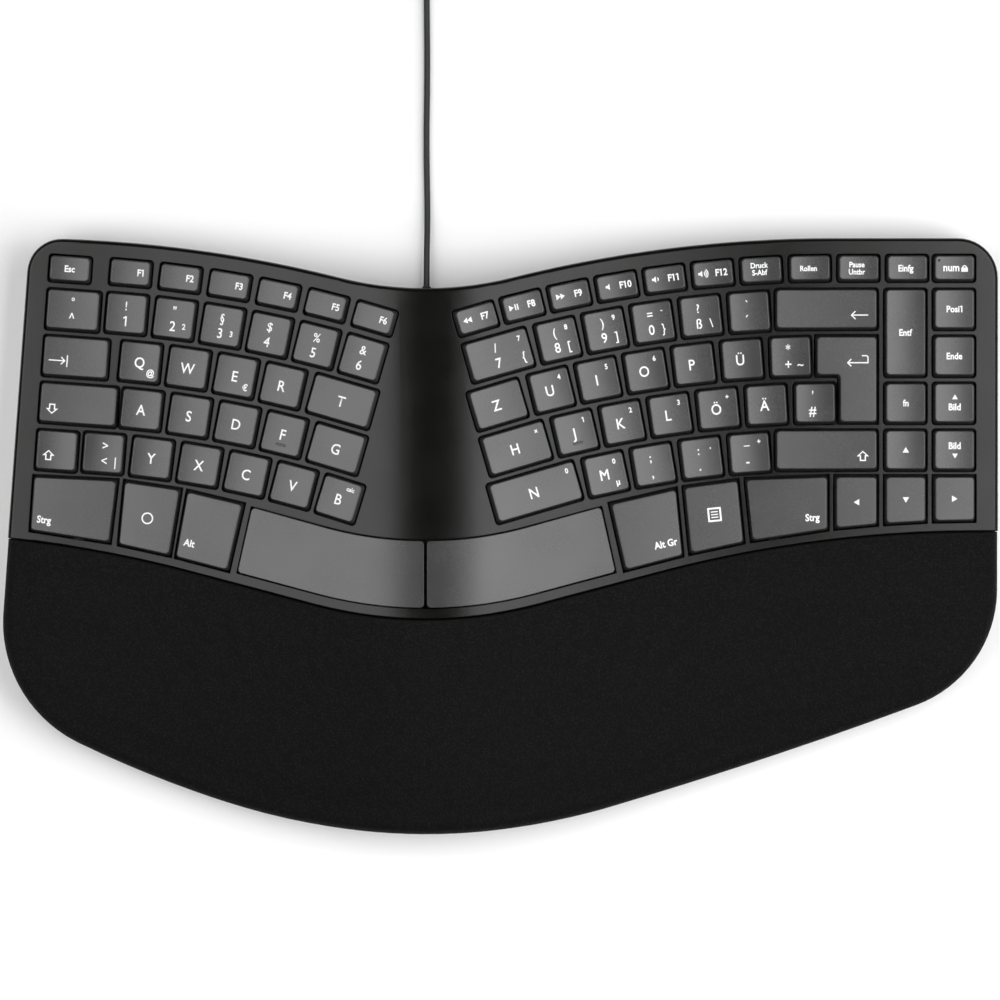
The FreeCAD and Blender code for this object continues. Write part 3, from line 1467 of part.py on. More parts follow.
def tube(label, edges):
    """Round tube along a chain of edges, checked against its section times its length."""
    spine = Part.Wire(edges)
    start = edges[0].firstVertex(True).Point
    circle = Part.Wire(Part.makeCircle(cable_radius, start, edges[0].tangentAt(0)))
    solid = spine.makePipeShell([circle], True, False)
    expected = math.pi * cable_radius ** 2 * spine.Length
    share = solid.Volume / expected
    print(f"{label}: length {spine.Length:.1f}, volume {share:.4f} of section times length")
    return feature(label, solid), spine


def self_gap(spine):
    """Least distance between stretches of a tube that are not neighbours along it."""
    points = spine.discretize(Distance=cable_radius)
    apart = int(4 * math.pi)
    least = FAR
    for first, point in enumerate(points):
        for other in points[first + apart:]:
            least = min(least, point.distanceToPoint(other))
    return least - size("cable_diameter")


LEAD_ROUTE = [
    (0.0, lead_end, size("exit_level")),
    (0.0, 84.0, size("exit_level")),
    (0.0, 76.0, size("board_level") - size("board_thickness") - cable_radius),
    (0.0, 66.0, size("board_level") - size("board_thickness") - cable_radius),
]
CABLE_ROUTE = [
    (0.0, lead_end, size("exit_level")),
    (0.0, 108.0, size("exit_level")),
    (0.4, 126.0, cable_radius),
    (-0.2, 152.0, cable_radius),
    (0.3, 182.0, cable_radius),
    (0.0, 208.0, cable_radius),
    (0.0, 224.0, coil_level),
    (0.0, coil_start, coil_level),
]


def from_ridge(points):
    return [Vector(ridge_x + across, along, level) for across, along, level in points]


lead_edges, lead_radii = route_edges(from_ridge(LEAD_ROUTE))
inner_lead, lead_spine = tube("inner_lead", lead_edges)
cable_edges, cable_radii = route_edges(from_ridge(CABLE_ROUTE))
usb_cable, cable_spine = tube("usb_cable", cable_edges)

# The stored coil: four layers, spiralling in and out by half turns.  It climbs a layer in the
# half turn where the spiral reverses.
HALF_TURNS = 7
LAYERS = 4
half_step = layer_step / 2
outer = size("coil_radius")
inner = outer - half_step * (HALF_TURNS - 1)
half_turns = []
for layer in range(LAYERS):
    radii = [outer - half_step * count for count in range(HALF_TURNS)]
    inward = layer % 2 == 0
    half_turns += [(radius, 0.0) for radius in (radii if inward else radii[::-1])]
    half_turns.append((inner - half_step if inward else outer + half_step, layer_step))
half_turns = half_turns[:-2]

point = Vector(ridge_x, coil_start, coil_level)
coil_edges = [Part.LineSegment(point, point + ALONG_Y * lead_in).toShape()]
point = point + ALONG_Y * lead_in
heading = 1
for radius, climb in half_turns:
    across = Vector(heading * 2 * radius, 0, climb)
    forward = ALONG_Y * (heading * across.Length / 2)
    middle = point + across * 0.5 + forward
    end = point + across
    if climb:
        coil_edges.append(arc_at_corner(point, point + forward, middle).toShape())
        coil_edges.append(arc_at_corner(middle, end + forward, end).toShape())
    else:
        coil_edges.append(Part.Arc(point, middle, end).toShape())
    point, heading = end, -heading
quarter_corner = point + ALONG_Y * outer
quarter_end = quarter_corner + Vector(outer, 0, 0)
coil_edges.append(arc_at_corner(point, quarter_corner, quarter_end).toShape())
plug_level = size("plug_body_height") / 2
TAIL_ROUTE = [(0.0, 0.0), (11.0, 0.0), (27.0, plug_level - quarter_end.z)]
TAIL_ROUTE.append((33.0, TAIL_ROUTE[-1][1]))
tail_points = [quarter_end + Vector(across, 0, level) for across, level in TAIL_ROUTE]
tail_edges, tail_radii = route_edges(tail_points)
usb_cable_coil, coil_spine = tube("usb_cable_coil", coil_edges + tail_edges)
print(f"least gap of the coil to itself: {self_gap(coil_spine):.2f}")
print("radii of the cable:", [round(radius, 1) for radius in lead_radii + cable_radii + tail_radii])
free_length = cable_spine.Length + coil_spine.Length - (relief_end - lead_end)
print(f"free length of the cable: {free_length:.0f}")

# The band round the coil, where all turns run along Y
tie_low = Vector(ridge_x - cable_radius - size("tie_gap"), 0, size("tie_thickness"))
tie_low.y = size("coil_distance") - size("tie_width") / 2
TIE_ACROSS = "4 * (sizes.cable_diameter + sizes.coil_gap) + sizes.cable_diameter + 2 * sizes.tie_gap"
TIE_UP = "3 * (sizes.cable_diameter + sizes.coil_gap) + sizes.cable_diameter + sizes.tie_gap"
tie_hollow = block("tie_hollow", TIE_ACROSS, "sizes.tie_width", TIE_UP, tie_low)
tie_edge = Vector(size("tie_thickness"), 0, size("tie_thickness"))
tie_block = block(
    "tie_block",
    f"{TIE_ACROSS} + 2 * sizes.tie_thickness",
    "sizes.tie_width",
    f"{TIE_UP} + 2 * sizes.tie_thickness",
    tie_low - tie_edge,
)
cable_tie = cut("cable_tie", tie_block, tie_hollow)

# The plug lies beside the coil
plug_start = tail_points[-1]
plug_corner = Vector(plug_start.x, plug_start.y - size("plug_body_width") / 2, 0)
grip_block = block(
    "grip_block",
    "sizes.plug_body_length",
    "sizes.plug_body_width",
    "sizes.plug_body_height",
    plug_corner,
)
grip_middle = plug_start.x + size("plug_body_length") / 2
grip = rounded(
    "grip", grip_block, size("plug_body_round"), lambda e: abs(middle_of(e).x - grip_middle) < 1
)
shell_corner = plug_start + Vector(size("plug_body_length"), 0, 0)
shell_corner.y -= size("plug_shell_width") / 2
shell_corner.z -= size("plug_shell_height") / 2
shell_outside = block(
    "shell_outside",
    "sizes.plug_shell_length",
    "sizes.plug_shell_width",
    "sizes.plug_shell_height",
    shell_corner,
)
rim = size("plug_shell_wall")
shell_inside = block(
    "shell_inside",
    "sizes.plug_shell_length",
    "sizes.plug_shell_width - 2 * sizes.plug_shell_wall",
    "sizes.plug_shell_height - 2 * sizes.plug_shell_wall",
    shell_corner + Vector(0, rim, rim),
)
usb_plug_shell = cut("usb_plug_shell", shell_outside, shell_inside)
tongue = block(
    "tongue",
    "sizes.plug_shell_length",
    "sizes.plug_shell_width - 2 * sizes.plug_shell_wall",
    "sizes.plug_shell_height / 2 - sizes.plug_shell_wall",
    shell_corner + Vector(-1, rim, size("plug_shell_height") / 2),
)
usb_plug_body = fuse("usb_plug_body", [grip, tongue])

nodes += [
    top_cover,
    bottom_cover,
    palm_rest_base,
    palm_rest_foam,
    palm_rest_cover,
    key_guide_plate,
    rubber_domes,
    membrane_top,
    membrane_spacer,
    membrane_bottom,
    steel_plate,
    controller_board,
    controller_chip,
    membrane_clamp,
    inner_lead,
    screws,
    strain_relief,
    usb_cable,
    usb_cable_coil,
    cable_tie,
    usb_plug_body,
    usb_plug_shell,
    rubber_feet,
]

doc.recompute()
for item in doc.Objects:
    faults = [state for state in item.State if state in ("Invalid", "Error")]
    if faults:
        raise RuntimeError(f"{item.Label}: {faults}")

os.makedirs("parts", exist_ok=True)
for node in nodes:
    shape = Part.getShape(node)
    if shape.isNull() or not shape.isValid() or not shape.Solids:
        raise RuntimeError(f"{node.Label} is not a valid solid")
    shape.exportStep(f"parts/{node.Label}.step")
    box = shape.optimalBoundingBox(False)
    print(
        f"{node.Label}: {len(shape.Solids)} solids, {shape.Volume:.0f} mm3,",
        f"x {box.XMin:.1f} to {box.XMax:.1f}, y {box.YMin:.1f} to {box.YMax:.1f},",
        f"z {box.ZMin:.2f} to {box.ZMax:.2f}",
    )

# Travel axes, for the record of the part
for node, angle in group_lean.items():
    print(f"travel of {node}: {angle:.2f} degrees off the vertical")
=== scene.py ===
import json
import math

import bmesh
import bpy
from mathutils import Matrix, Vector
from mathutils.bvhtree import BVHTree
from mathutils.kdtree import KDTree


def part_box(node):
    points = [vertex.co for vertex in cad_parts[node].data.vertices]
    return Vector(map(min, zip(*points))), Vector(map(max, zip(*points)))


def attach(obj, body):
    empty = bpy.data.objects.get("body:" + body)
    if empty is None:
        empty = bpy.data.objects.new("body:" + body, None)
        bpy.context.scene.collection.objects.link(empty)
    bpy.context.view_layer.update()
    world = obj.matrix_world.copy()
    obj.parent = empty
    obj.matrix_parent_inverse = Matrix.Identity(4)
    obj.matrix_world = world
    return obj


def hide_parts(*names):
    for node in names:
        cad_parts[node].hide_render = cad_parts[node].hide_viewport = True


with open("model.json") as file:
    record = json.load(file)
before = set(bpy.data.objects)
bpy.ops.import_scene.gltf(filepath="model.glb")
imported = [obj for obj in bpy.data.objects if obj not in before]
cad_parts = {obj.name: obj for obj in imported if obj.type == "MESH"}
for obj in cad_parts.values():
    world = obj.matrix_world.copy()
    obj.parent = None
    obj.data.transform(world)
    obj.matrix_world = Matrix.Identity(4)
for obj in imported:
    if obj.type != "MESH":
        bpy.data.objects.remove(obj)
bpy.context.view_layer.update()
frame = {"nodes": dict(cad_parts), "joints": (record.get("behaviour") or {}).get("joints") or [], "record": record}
nodes = frame["nodes"]

# The camera hangs straight over the desk, as in the photograph.  At the height of the key tops
# the picture is 387 mm wide, and its middle lies a little behind the middle of the case.
MM = 0.001
PHOTO_PIXELS = 1000
PIXELS_PER_MM = 2.584
CASE_MIDDLE_ROW = 536
KEY_TOPS = 22 * MM
CAMERA_HEIGHT = 2.0
SENSOR_WIDTH = 36
picture_width = PHOTO_PIXELS / PIXELS_PER_MM * MM
picture_middle = (CASE_MIDDLE_ROW - PHOTO_PIXELS / 2) / PIXELS_PER_MM * MM
bpy.ops.object.camera_add(location=(0, picture_middle, KEY_TOPS + CAMERA_HEIGHT))
camera = bpy.context.object
camera.data.sensor_width = SENSOR_WIDTH
camera.data.lens = SENSOR_WIDTH * CAMERA_HEIGHT / picture_width
camera.data.clip_end = 20
bpy.context.scene.camera = camera
bpy.context.scene.view_settings.view_transform = "Standard"

# The studio: a table top painted matt white, a soft box over each wing, two low ones that fill in
# from the sides and a little light from all round.  The strip between the upper soft boxes is dark,
# and shows as the dark band along the ridge.
TABLE_SIZE = 8.0


def deselect_all():
    bpy.ops.object.select_all(action="DESELECT")


def new_finish(name):
    """A new material with its node tree and its surface shader."""
    material = bpy.data.materials.new(name)
    material.use_nodes = True
    return material, material.node_tree, material.node_tree.nodes["Principled BSDF"]


deselect_all()
bpy.ops.mesh.primitive_plane_add(size=TABLE_SIZE)
table_top = bpy.context.object
table_top.name = "table_top"
table_paint, tree, paint = new_finish("table_paint")
paint.inputs["Base Color"].default_value = (0.93, 0.93, 0.93, 1)
paint.inputs["Roughness"].default_value = 0.9
paint.inputs["Specular IOR Level"].default_value = 0.1
table_top.data.materials.append(table_paint)

SOFT_BOXES = [
    # middle, size along x and y, watts, what it points at, whether it shows in glossy surfaces
    ((-0.52, 0.05, 1.0), (0.60, 1.1), 5.6, (-0.52, 0.05, 0), True),
    ((0.55, 0.05, 1.0), (0.66, 1.1), 7.6, (0.55, 0.05, 0), True),
    ((-1.30, 0.0, 0.9), (1.2, 1.0), 8.0, (0, 0, 0), False),
    ((1.20, -0.25, 0.55), (1.2, 1.0), 17.0, (0, -0.05, 0), False),
]
for middle, spread, watts, target, mirrored in SOFT_BOXES:
    bpy.ops.object.light_add(type="AREA", location=middle)
    soft_box = bpy.context.object
    soft_box.data.shape = "RECTANGLE"
    soft_box.data.size, soft_box.data.size_y = spread
    soft_box.data.energy = watts
    aim = Vector(target) - Vector(middle)
    soft_box.rotation_euler = aim.to_track_quat("-Z", "Y").to_euler()
    soft_box.visible_glossy = mirrored

studio = bpy.data.worlds.new("studio")
bpy.context.scene.world = studio
studio.use_nodes = True
sky = studio.node_tree.nodes["Background"]
sky.inputs["Color"].default_value = (1.0, 1.0, 1.0, 1)
sky.inputs["Strength"].default_value = 0.035

# The cable leaves the back of the case on the ridge line, runs straight back over the desk and
# out of the picture.  The rest is stored in a coil of four layers behind a band, and ends in the
# plug.  It is a soft, round, black lead of 2.4 mm.
lead_low, lead_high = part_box("strain_relief")
RIDGE = (lead_low.x + lead_high.x) / 2
LEAD_END = lead_low.y
EXIT_LEVEL = (lead_low.z + lead_high.z) / 2
CABLE = 2.4 * MM
BAND = 0.6 * MM
COIL_TURN_GAP = 0.5 * MM
COIL_RADIUS = 18.5 * MM
COIL_MIDDLE = 236.0 * MM
ON_DESK = CABLE / 2
ON_BAND = BAND + CABLE / 2
CABLE_ROUTE = [
    (0.0, LEAD_END, EXIT_LEVEL),
    (0.0, 108.0 * MM, EXIT_LEVEL),
    (0.4 * MM, 126.0 * MM, ON_DESK),
    (-0.2 * MM, 152.0 * MM, ON_DESK),
    (0.3 * MM, 182.0 * MM, ON_DESK),
    (0.0, 208.0 * MM, ON_DESK),
    (0.0, 224.0 * MM, ON_BAND),
    (0.0, COIL_MIDDLE - CABLE, ON_BAND),
]
cable_points = [Vector((RIDGE + x, y, z)) for x, y, z in CABLE_ROUTE]

# The coil spirals in and out by half turns, and climbs a layer where the spiral reverses.  The
# spline runs a little inside its control points, so those stand out by as much
HALF_TURNS = 7
LAYERS = 4
POINTS_IN_HALF_TURN = 8
layer_step = CABLE + COIL_TURN_GAP
shrink = 0.75 + 0.25 * math.cos(math.pi / POINTS_IN_HALF_TURN)
spiral = []
for layer in range(LAYERS):
    radii = [COIL_RADIUS - layer_step / 2 * count for count in range(HALF_TURNS)]
    inward = layer % 2 == 0
    spiral += [(radius, 0.0) for radius in (radii if inward else radii[::-1])]
    last = radii[-1] - layer_step / 2 if inward else radii[0] + layer_step / 2
    spiral.append((last, layer_step))

# The last layer ends with a level quarter turn, from which the cable runs off to the plug
half_turns = [(radius, climb, POINTS_IN_HALF_TURN) for radius, climb in spiral[:-2]]
half_turns.append((COIL_RADIUS, 0.0, POINTS_IN_HALF_TURN // 2))


def smooth(share):
    """The share from 0 to 1 with a level start and end."""
    return share * share * (3 - 2 * share)


start = Vector((RIDGE, COIL_MIDDLE, ON_BAND))
way = 1
for radius, climb, count in half_turns:
    centre = start + Vector((way * radius, 0, 0))
    for step in range(count):
        share = (step + 0.5) / POINTS_IN_HALF_TURN
        turn = math.pi * share
        arm = Vector((-way * math.cos(turn), way * math.sin(turn), 0)) * (radius / shrink)
        rise = climb * smooth(share)
        cable_points.append(centre + arm + Vector((0, 0, rise)))
    start = centre + Vector((way * radius, 0, climb))
    way = -way
coil_end = centre + Vector((0, COIL_RADIUS, 0))
PLUG_LEVEL = 4.0 * MM
to_plug = PLUG_LEVEL - coil_end.z
for across, rise in [(2.5, 0.0), (11.0, 0.0), (27.0, to_plug), (33.0, to_plug)]:
    cable_points.append(coil_end + Vector((across * MM, 0, rise)))


def put_in_scene(name, data):
    """A new object at the origin with that mesh or curve."""
    added = bpy.data.objects.new(name, data)
    bpy.context.collection.objects.link(added)
    return added


cable_curve = bpy.data.curves.new("usb_cable_whole", "CURVE")
cable_curve.dimensions = "3D"
cable_line = cable_curve.splines.new("NURBS")
cable_line.points.add(len(cable_points) - 1)
for control, point in zip(cable_line.points, cable_points):
    control.co = (*point, 1)
cable_line.order_u = 3
cable_line.use_endpoint_u = True
cable_line.resolution_u = 4
cable_run = put_in_scene("cable_run", cable_curve)
centre_line = bpy.data.meshes.new_from_object(cable_run)
cable_curve.bevel_depth = CABLE / 2
cable_curve.bevel_resolution = 3
cable_curve.use_fill_caps = True
cable = put_in_scene("usb_cable_whole", bpy.data.meshes.new_from_object(cable_run))
bpy.data.objects.remove(cable_run)
for face in cable.data.polygons:
    face.use_smooth = True


# All moulded plastic and rubber here has the skin of an eroded mould: fine rounded pebbles, with a
# slight cloudiness of the colour and the gloss
def new_socket_group(name, inputs, outputs):
    """A node group with those sockets, and the nodes at which it starts and ends."""
    group = bpy.data.node_groups.new(name, "ShaderNodeTree")
    for label, kind, value in inputs:
        socket = group.interface.new_socket(label, in_out="INPUT", socket_type=kind)
        socket.default_value = value
    for label, kind in outputs:
        group.interface.new_socket(label, in_out="OUTPUT", socket_type=kind)
    return group, group.nodes.new("NodeGroupInput"), group.nodes.new("NodeGroupOutput")


def noise_over(tree, vector, scale, detail=2.0):
    """Noise on that vector, with about as many lumps to the metre as its scale."""
    noise = tree.nodes.new("ShaderNodeTexNoise")
    noise.inputs["Scale"].default_value = scale
    noise.inputs["Detail"].default_value = detail
    tree.links.new(vector, noise.inputs["Vector"])
    return noise


def reckon(tree, operation, *terms):
    """Result of a sum or product; each term is a number or another node's output."""
    node = tree.nodes.new("ShaderNodeMath")
    node.operation = operation
    for slot, term in zip(node.inputs, terms):
        if isinstance(term, float):
            slot.default_value = term
        else:
            tree.links.new(term, slot)
    return node.outputs[0]


def emboss(tree, surface, height, depth, strength):
    """The surface takes that height as a fine relief."""
    bump = tree.nodes.new("ShaderNodeBump")
    bump.inputs["Distance"].default_value = depth
    bump.inputs["Strength"].default_value = strength
    tree.links.new(height, bump.inputs["Height"])
    tree.links.new(bump.outputs["Normal"], surface.inputs["Normal"])
    return bump


mould_skin, entry, leave = new_socket_group(
    "mould_skin",
    [
        ("Colour", "NodeSocketColor", (0.1, 0.1, 0.1, 1)),
        ("Pebbles per metre", "NodeSocketFloat", 2500.0),
        ("Cloudiness", "NodeSocketFloat", 0.12),
        ("Roughness", "NodeSocketFloat", 0.5),
    ],
    [("Colour", "NodeSocketColor"), ("Roughness", "NodeSocketFloat"), ("Height", "NodeSocketFloat")],
)
links = mould_skin.links
place = mould_skin.nodes.new("ShaderNodeTexCoord")
pebbles = noise_over(mould_skin, place.outputs["Object"], 2500.0, detail=3.0)
pebbles.inputs["Roughness"].default_value = 0.6
links.new(entry.outputs["Pebbles per metre"], pebbles.inputs["Scale"])
clouds = noise_over(mould_skin, place.outputs["Object"], 45.0, detail=4.0)
speck = reckon(mould_skin, "ADD", clouds.outputs["Fac"], pebbles.outputs["Fac"])
centred = reckon(mould_skin, "SUBTRACT", speck, 1.0)
shade = reckon(mould_skin, "MULTIPLY_ADD", centred, entry.outputs["Cloudiness"], 1.0)
tint = mould_skin.nodes.new("ShaderNodeVectorMath")
tint.operation = "SCALE"
links.new(entry.outputs["Colour"], tint.inputs[0])
links.new(shade, tint.inputs["Scale"])
links.new(tint.outputs[0], leave.inputs["Colour"])
gloss = reckon(mould_skin, "MULTIPLY_ADD", centred, 0.15, entry.outputs["Roughness"])
links.new(gloss, leave.inputs["Roughness"])
links.new(pebbles.outputs["Fac"], leave.inputs["Height"])


def moulded(name, colour, roughness, pebbles=2500.0, cloudiness=0.12, depth=0.03, worn=0.0, shine=0.4):
    """Plastic or rubber with that skin: pebbles to the metre, their depth and the radius to which
    its corners are worn in millimetres."""
    material, tree, surface = new_finish(name)
    skin = tree.nodes.new("ShaderNodeGroup")
    skin.node_tree = mould_skin
    skin.inputs["Colour"].default_value = (*colour, 1)
    skin.inputs["Pebbles per metre"].default_value = pebbles
    skin.inputs["Cloudiness"].default_value = cloudiness
    skin.inputs["Roughness"].default_value = roughness
    tree.links.new(skin.outputs["Colour"], surface.inputs["Base Color"])
    tree.links.new(skin.outputs["Roughness"], surface.inputs["Roughness"])
    bump = emboss(tree, surface, skin.outputs["Height"], depth * MM, strength=0.6)
    if worn:
        corner = tree.nodes.new("ShaderNodeBevel")
        corner.samples = 6
        corner.inputs["Radius"].default_value = worn * MM
        tree.links.new(corner.outputs["Normal"], bump.inputs["Normal"])
    surface.inputs["Specular IOR Level"].default_value = shine
    return material


cable_skin = moulded("cable_skin", (0.020, 0.020, 0.021), 0.42, pebbles=3000.0, cloudiness=0.10)
cable.data.materials.append(cable_skin)
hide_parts("usb_cable", "usb_cable_coil")
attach(cable, "case")

# The moulded black pieces on the cable are its strain relief, which snaps into the case wall, the
# grip cast round the plug and the strap that ties up the coil.  All are soft plastic.
def dress(node, material):
    """The CAD node keeps its shape and takes the material."""
    piece = nodes[node]
    piece.data.materials.clear()
    piece.data.materials.append(material)


dress("strain_relief", moulded("relief_skin", (0.018, 0.018, 0.019), 0.5, worn=0.3))
dress("usb_plug_body", moulded("plug_grip_skin", (0.022, 0.022, 0.023), 0.48, worn=0.6))
dress("cable_tie", moulded("tie_skin", (0.03, 0.03, 0.03), 0.35, pebbles=900.0, worn=0.2))

# The plug's shell is a folded steel sheet with a bright tin plating.  It is held in the grip, and
# shows the faint lines of its drawing along it.
def two_tones(tree, surface, share, first, second):
    """The surface's colour goes from the first to the second tone with that share."""
    tones = tree.nodes.new("ShaderNodeMix")
    tones.data_type = "RGBA"
    tones.inputs["A"].default_value = (*first, 1)
    tones.inputs["B"].default_value = (*second, 1)
    tree.links.new(share, tones.inputs["Factor"])
    tree.links.new(tones.outputs["Result"], surface.inputs["Base Color"])


def bare_metal(name, colour, roughness, stretch, lines_per_metre):
    """Bare metal whose drawing lines run along the axis with the small stretch."""
    material, tree, surface = new_finish(name)
    surface.inputs["Metallic"].default_value = 1.0
    place = tree.nodes.new("ShaderNodeTexCoord")
    along = tree.nodes.new("ShaderNodeMapping")
    along.inputs["Scale"].default_value = stretch
    tree.links.new(place.outputs["Object"], along.inputs["Vector"])
    lines = noise_over(tree, along.outputs["Vector"], lines_per_metre, detail=5.0).outputs["Fac"]
    dull = tree.nodes.new("ShaderNodeMapRange")
    dull.inputs["To Min"].default_value = roughness - 0.1
    dull.inputs["To Max"].default_value = roughness + 0.15
    tree.links.new(lines, dull.inputs["Value"])
    tree.links.new(dull.outputs["Result"], surface.inputs["Roughness"])
    two_tones(tree, surface, lines, [0.8 * part for part in colour], colour)
    emboss(tree, surface, lines, depth=0.01 * MM, strength=0.3)
    return material


dress("usb_plug_shell", bare_metal("tin_plate", (0.62, 0.62, 0.60), 0.3, (0.1, 1, 1), 2500.0))

# The case is two moulded plastic shells, a satin black cover with a window for each key and a dull
# dark grey base with the tray of the palm rest.  Screws through the base, which stands on rubber
# feet, hold them together.
case_skin = moulded(
    "case_skin", (0.0035, 0.0035, 0.0030), 0.19, 2200.0, 0.16, depth=0.04, worn=0.4, shine=0.36
)
base_skin = moulded("base_skin", (0.026, 0.026, 0.026), 0.6, 1800.0, 0.14, depth=0.05, worn=0.4)
dress("top_cover", case_skin)
dress("bottom_cover", base_skin)
dress("palm_rest_base", moulded("palm_base_skin", (0.020, 0.020, 0.020), 0.6, 1800.0, 0.14, worn=0.3))
dress("rubber_feet", moulded("foot_rubber", (0.016, 0.016, 0.016), 0.75, 1500.0, 0.2, worn=0.3))

# The pad of the palm rest: a sheet of foam in a leatherette cover that is drawn over the edges of
# the hard tray and bonded to it.  The foam presses the cover up a little, most in the middle of
# the pad and not at all at its rim.
SWELL = 0.9 * MM
RIM_WIDTH = 14.0 * MM
SEAM_HEIGHT = 1.0 * MM
LONGEST_EDGE = 4.0 * MM
HALVINGS = 4
JOIN = 0.002 * MM
CREASE_ANGLE = math.radians(40)
DIRECTIONS = 8
ABOVE_PAD = 0.2
DOWN = Vector((0, 0, -1))
pad_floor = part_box("palm_rest_cover")[0].z + SEAM_HEIGHT


def pad_copy(label, *parts):
    """Object with the merged meshes of some nodes."""
    together = bmesh.new()
    for part in parts:
        together.from_mesh(nodes[part].data)
    bmesh.ops.remove_doubles(together, verts=together.verts, dist=JOIN)
    mesh = bpy.data.meshes.new(label)
    together.to_mesh(mesh)
    together.free()
    return put_in_scene(label, mesh)


def take_up(piece):
    """Only this object is selected and active."""
    deselect_all()
    piece.select_set(True)
    bpy.context.view_layer.objects.active = piece


def ray_target(mesh):
    """Tree of a mesh's faces that finds where a ray meets it."""
    return BVHTree.FromPolygons(
        [vert.co for vert in mesh.vertices], [list(face.vertices) for face in mesh.polygons]
    )


cover_target = ray_target(nodes["palm_rest_cover"].data)


def share_inside(point):
    """Share of the way from the rim of the pad to the part that can swell in full."""
    found = 0.0
    for ring in (0.25, 0.5, 0.75, 1.0):
        for step in range(DIRECTIONS):
            angle = 2 * math.pi * step / DIRECTIONS
            aside = Vector((math.cos(angle), math.sin(angle), 0)) * RIM_WIDTH * ring
            if cover_target.ray_cast(Vector((point.x, point.y, ABOVE_PAD)) + aside, DOWN)[0] is None:
                return found
        found = ring
    return found


# The swelling is worked out on a coarse closed form of cover and foam under pressure, of which only
# what faces up may move.  The fine mesh takes it over from the form's nearest points
FORM_GRAIN = 4.0 * MM
FACES_UP = 0.3
PRESSURE = 4.0
MOMENTS = 20
NEAREST_POINTS = 6
EVEN_GAP = 0.5 * MM
form = pad_copy("pad_form", "palm_rest_cover", "palm_rest_foam")
take_up(form)
remesh = form.modifiers.new("remesh", "REMESH")
remesh.mode = "VOXEL"
remesh.voxel_size = FORM_GRAIN
bpy.ops.object.modifier_apply(modifier="remesh")
before = [vert.co.copy() for vert in form.data.vertices]
after = before
held = form.vertex_groups.new(name="held")
underside = [vert.index for vert in form.data.vertices if vert.normal.z < FACES_UP]
held.add(underside, 1.0, "REPLACE")
swell = form.modifiers.new("swell", "CLOTH")
swell.settings.use_pressure = True
swell.settings.uniform_pressure_force = PRESSURE
swell.settings.effector_weights.gravity = 0.0
swell.settings.vertex_group_mass = "held"
for moment in range(1, MOMENTS + 1):
    bpy.context.scene.frame_set(moment)
inflated = form.evaluated_get(bpy.context.evaluated_depsgraph_get())
after = [vert.co.copy() for vert in inflated.data.vertices]
bpy.context.scene.frame_set(1)
nearby = KDTree(len(before))
for index, point in enumerate(before):
    nearby.insert(point, index)
nearby.balance()
lifts = [min(max(full.z - point.z, 0.0) / SWELL, 1.0) for point, full in zip(before, after)]
print("pad lifts", len(lifts), max(lifts), sum(lifts) / len(lifts))
bpy.data.objects.remove(form)


def swollen(label, node):
    """Copy of a node's mesh in even triangles, raised where the form swelled."""
    piece = pad_copy(label, node)
    shape = bmesh.new()
    shape.from_mesh(piece.data)
    for halving in range(HALVINGS):
        long_edges = [edge for edge in shape.edges if edge.calc_length() > LONGEST_EDGE]
        if long_edges:
            bmesh.ops.subdivide_edges(shape, edges=long_edges, cuts=1)
            bmesh.ops.triangulate(shape, faces=[face for face in shape.faces if len(face.verts) > 3])
    for vert in shape.verts:
        if vert.co.z < pad_floor:
            continue
        shares = []
        for spot, index, gap in nearby.find_n(vert.co, NEAREST_POINTS):
            shares.append((lifts[index], 1 / (gap + EVEN_GAP)))
        lift = sum(lift * weight for lift, weight in shares) / sum(weight for lift, weight in shares)
        vert.co.z += SWELL * lift * smooth(share_inside(vert.co))
    shape.to_mesh(piece.data)
    shape.free()
    return piece


pad_cover = swollen("palm_pad_cover", "palm_rest_cover")
pad_foam = swollen("palm_pad_foam", "palm_rest_foam")
for piece in (pad_cover, pad_foam):
    print(piece.name, len(piece.data.polygons))
    take_up(piece)
    bpy.ops.object.shade_smooth_by_angle(angle=CREASE_ANGLE)
    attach(piece, "case")

# The cover's skin is black leatherette with a fine grain of rounded cells and pores
leatherette, tree, surface = new_finish("leatherette")
surface.inputs["Specular IOR Level"].default_value = 0.16
place = tree.nodes.new("ShaderNodeTexCoord")
grain = tree.nodes.new("ShaderNodeTexVoronoi")
grain.inputs["Scale"].default_value = 1100.0
grain.inputs["Randomness"].default_value = 0.85
tree.links.new(place.outputs["Object"], grain.inputs["Vector"])
pores = noise_over(tree, place.outputs["Object"], 1500.0, detail=3.0)
relief = reckon(tree, "MULTIPLY_ADD", grain.outputs["Distance"], -0.8, pores.outputs["Fac"])
hide_tones = tree.nodes.new("ShaderNodeValToRGB")
hide_tones.color_ramp.elements[0].position = 0.10
hide_tones.color_ramp.elements[0].color = (0.0022, 0.0022, 0.0024, 1)
hide_tones.color_ramp.elements[1].position = 0.60
hide_tones.color_ramp.elements[1].color = (0.0085, 0.0085, 0.0088, 1)
tree.links.new(relief, hide_tones.inputs["Fac"])
tree.links.new(hide_tones.outputs["Color"], surface.inputs["Base Color"])
hide_gloss = tree.nodes.new("ShaderNodeMapRange")
hide_gloss.inputs["To Min"].default_value = 0.75
hide_gloss.inputs["To Max"].default_value = 0.50
tree.links.new(relief, hide_gloss.inputs["Value"])
tree.links.new(hide_gloss.outputs["Result"], surface.inputs["Roughness"])
emboss(tree, surface, relief, depth=0.15 * MM, strength=0.8)
pad_cover.data.materials.append(leatherette)
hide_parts("palm_rest_cover")

grey_foam, tree, surface = new_finish("pad_foam")
surface.inputs["Base Color"].default_value = (0.06, 0.06, 0.065, 1)
surface.inputs["Roughness"].default_value = 0.95
pad_foam.data.materials.append(grey_foam)
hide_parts("palm_rest_foam")

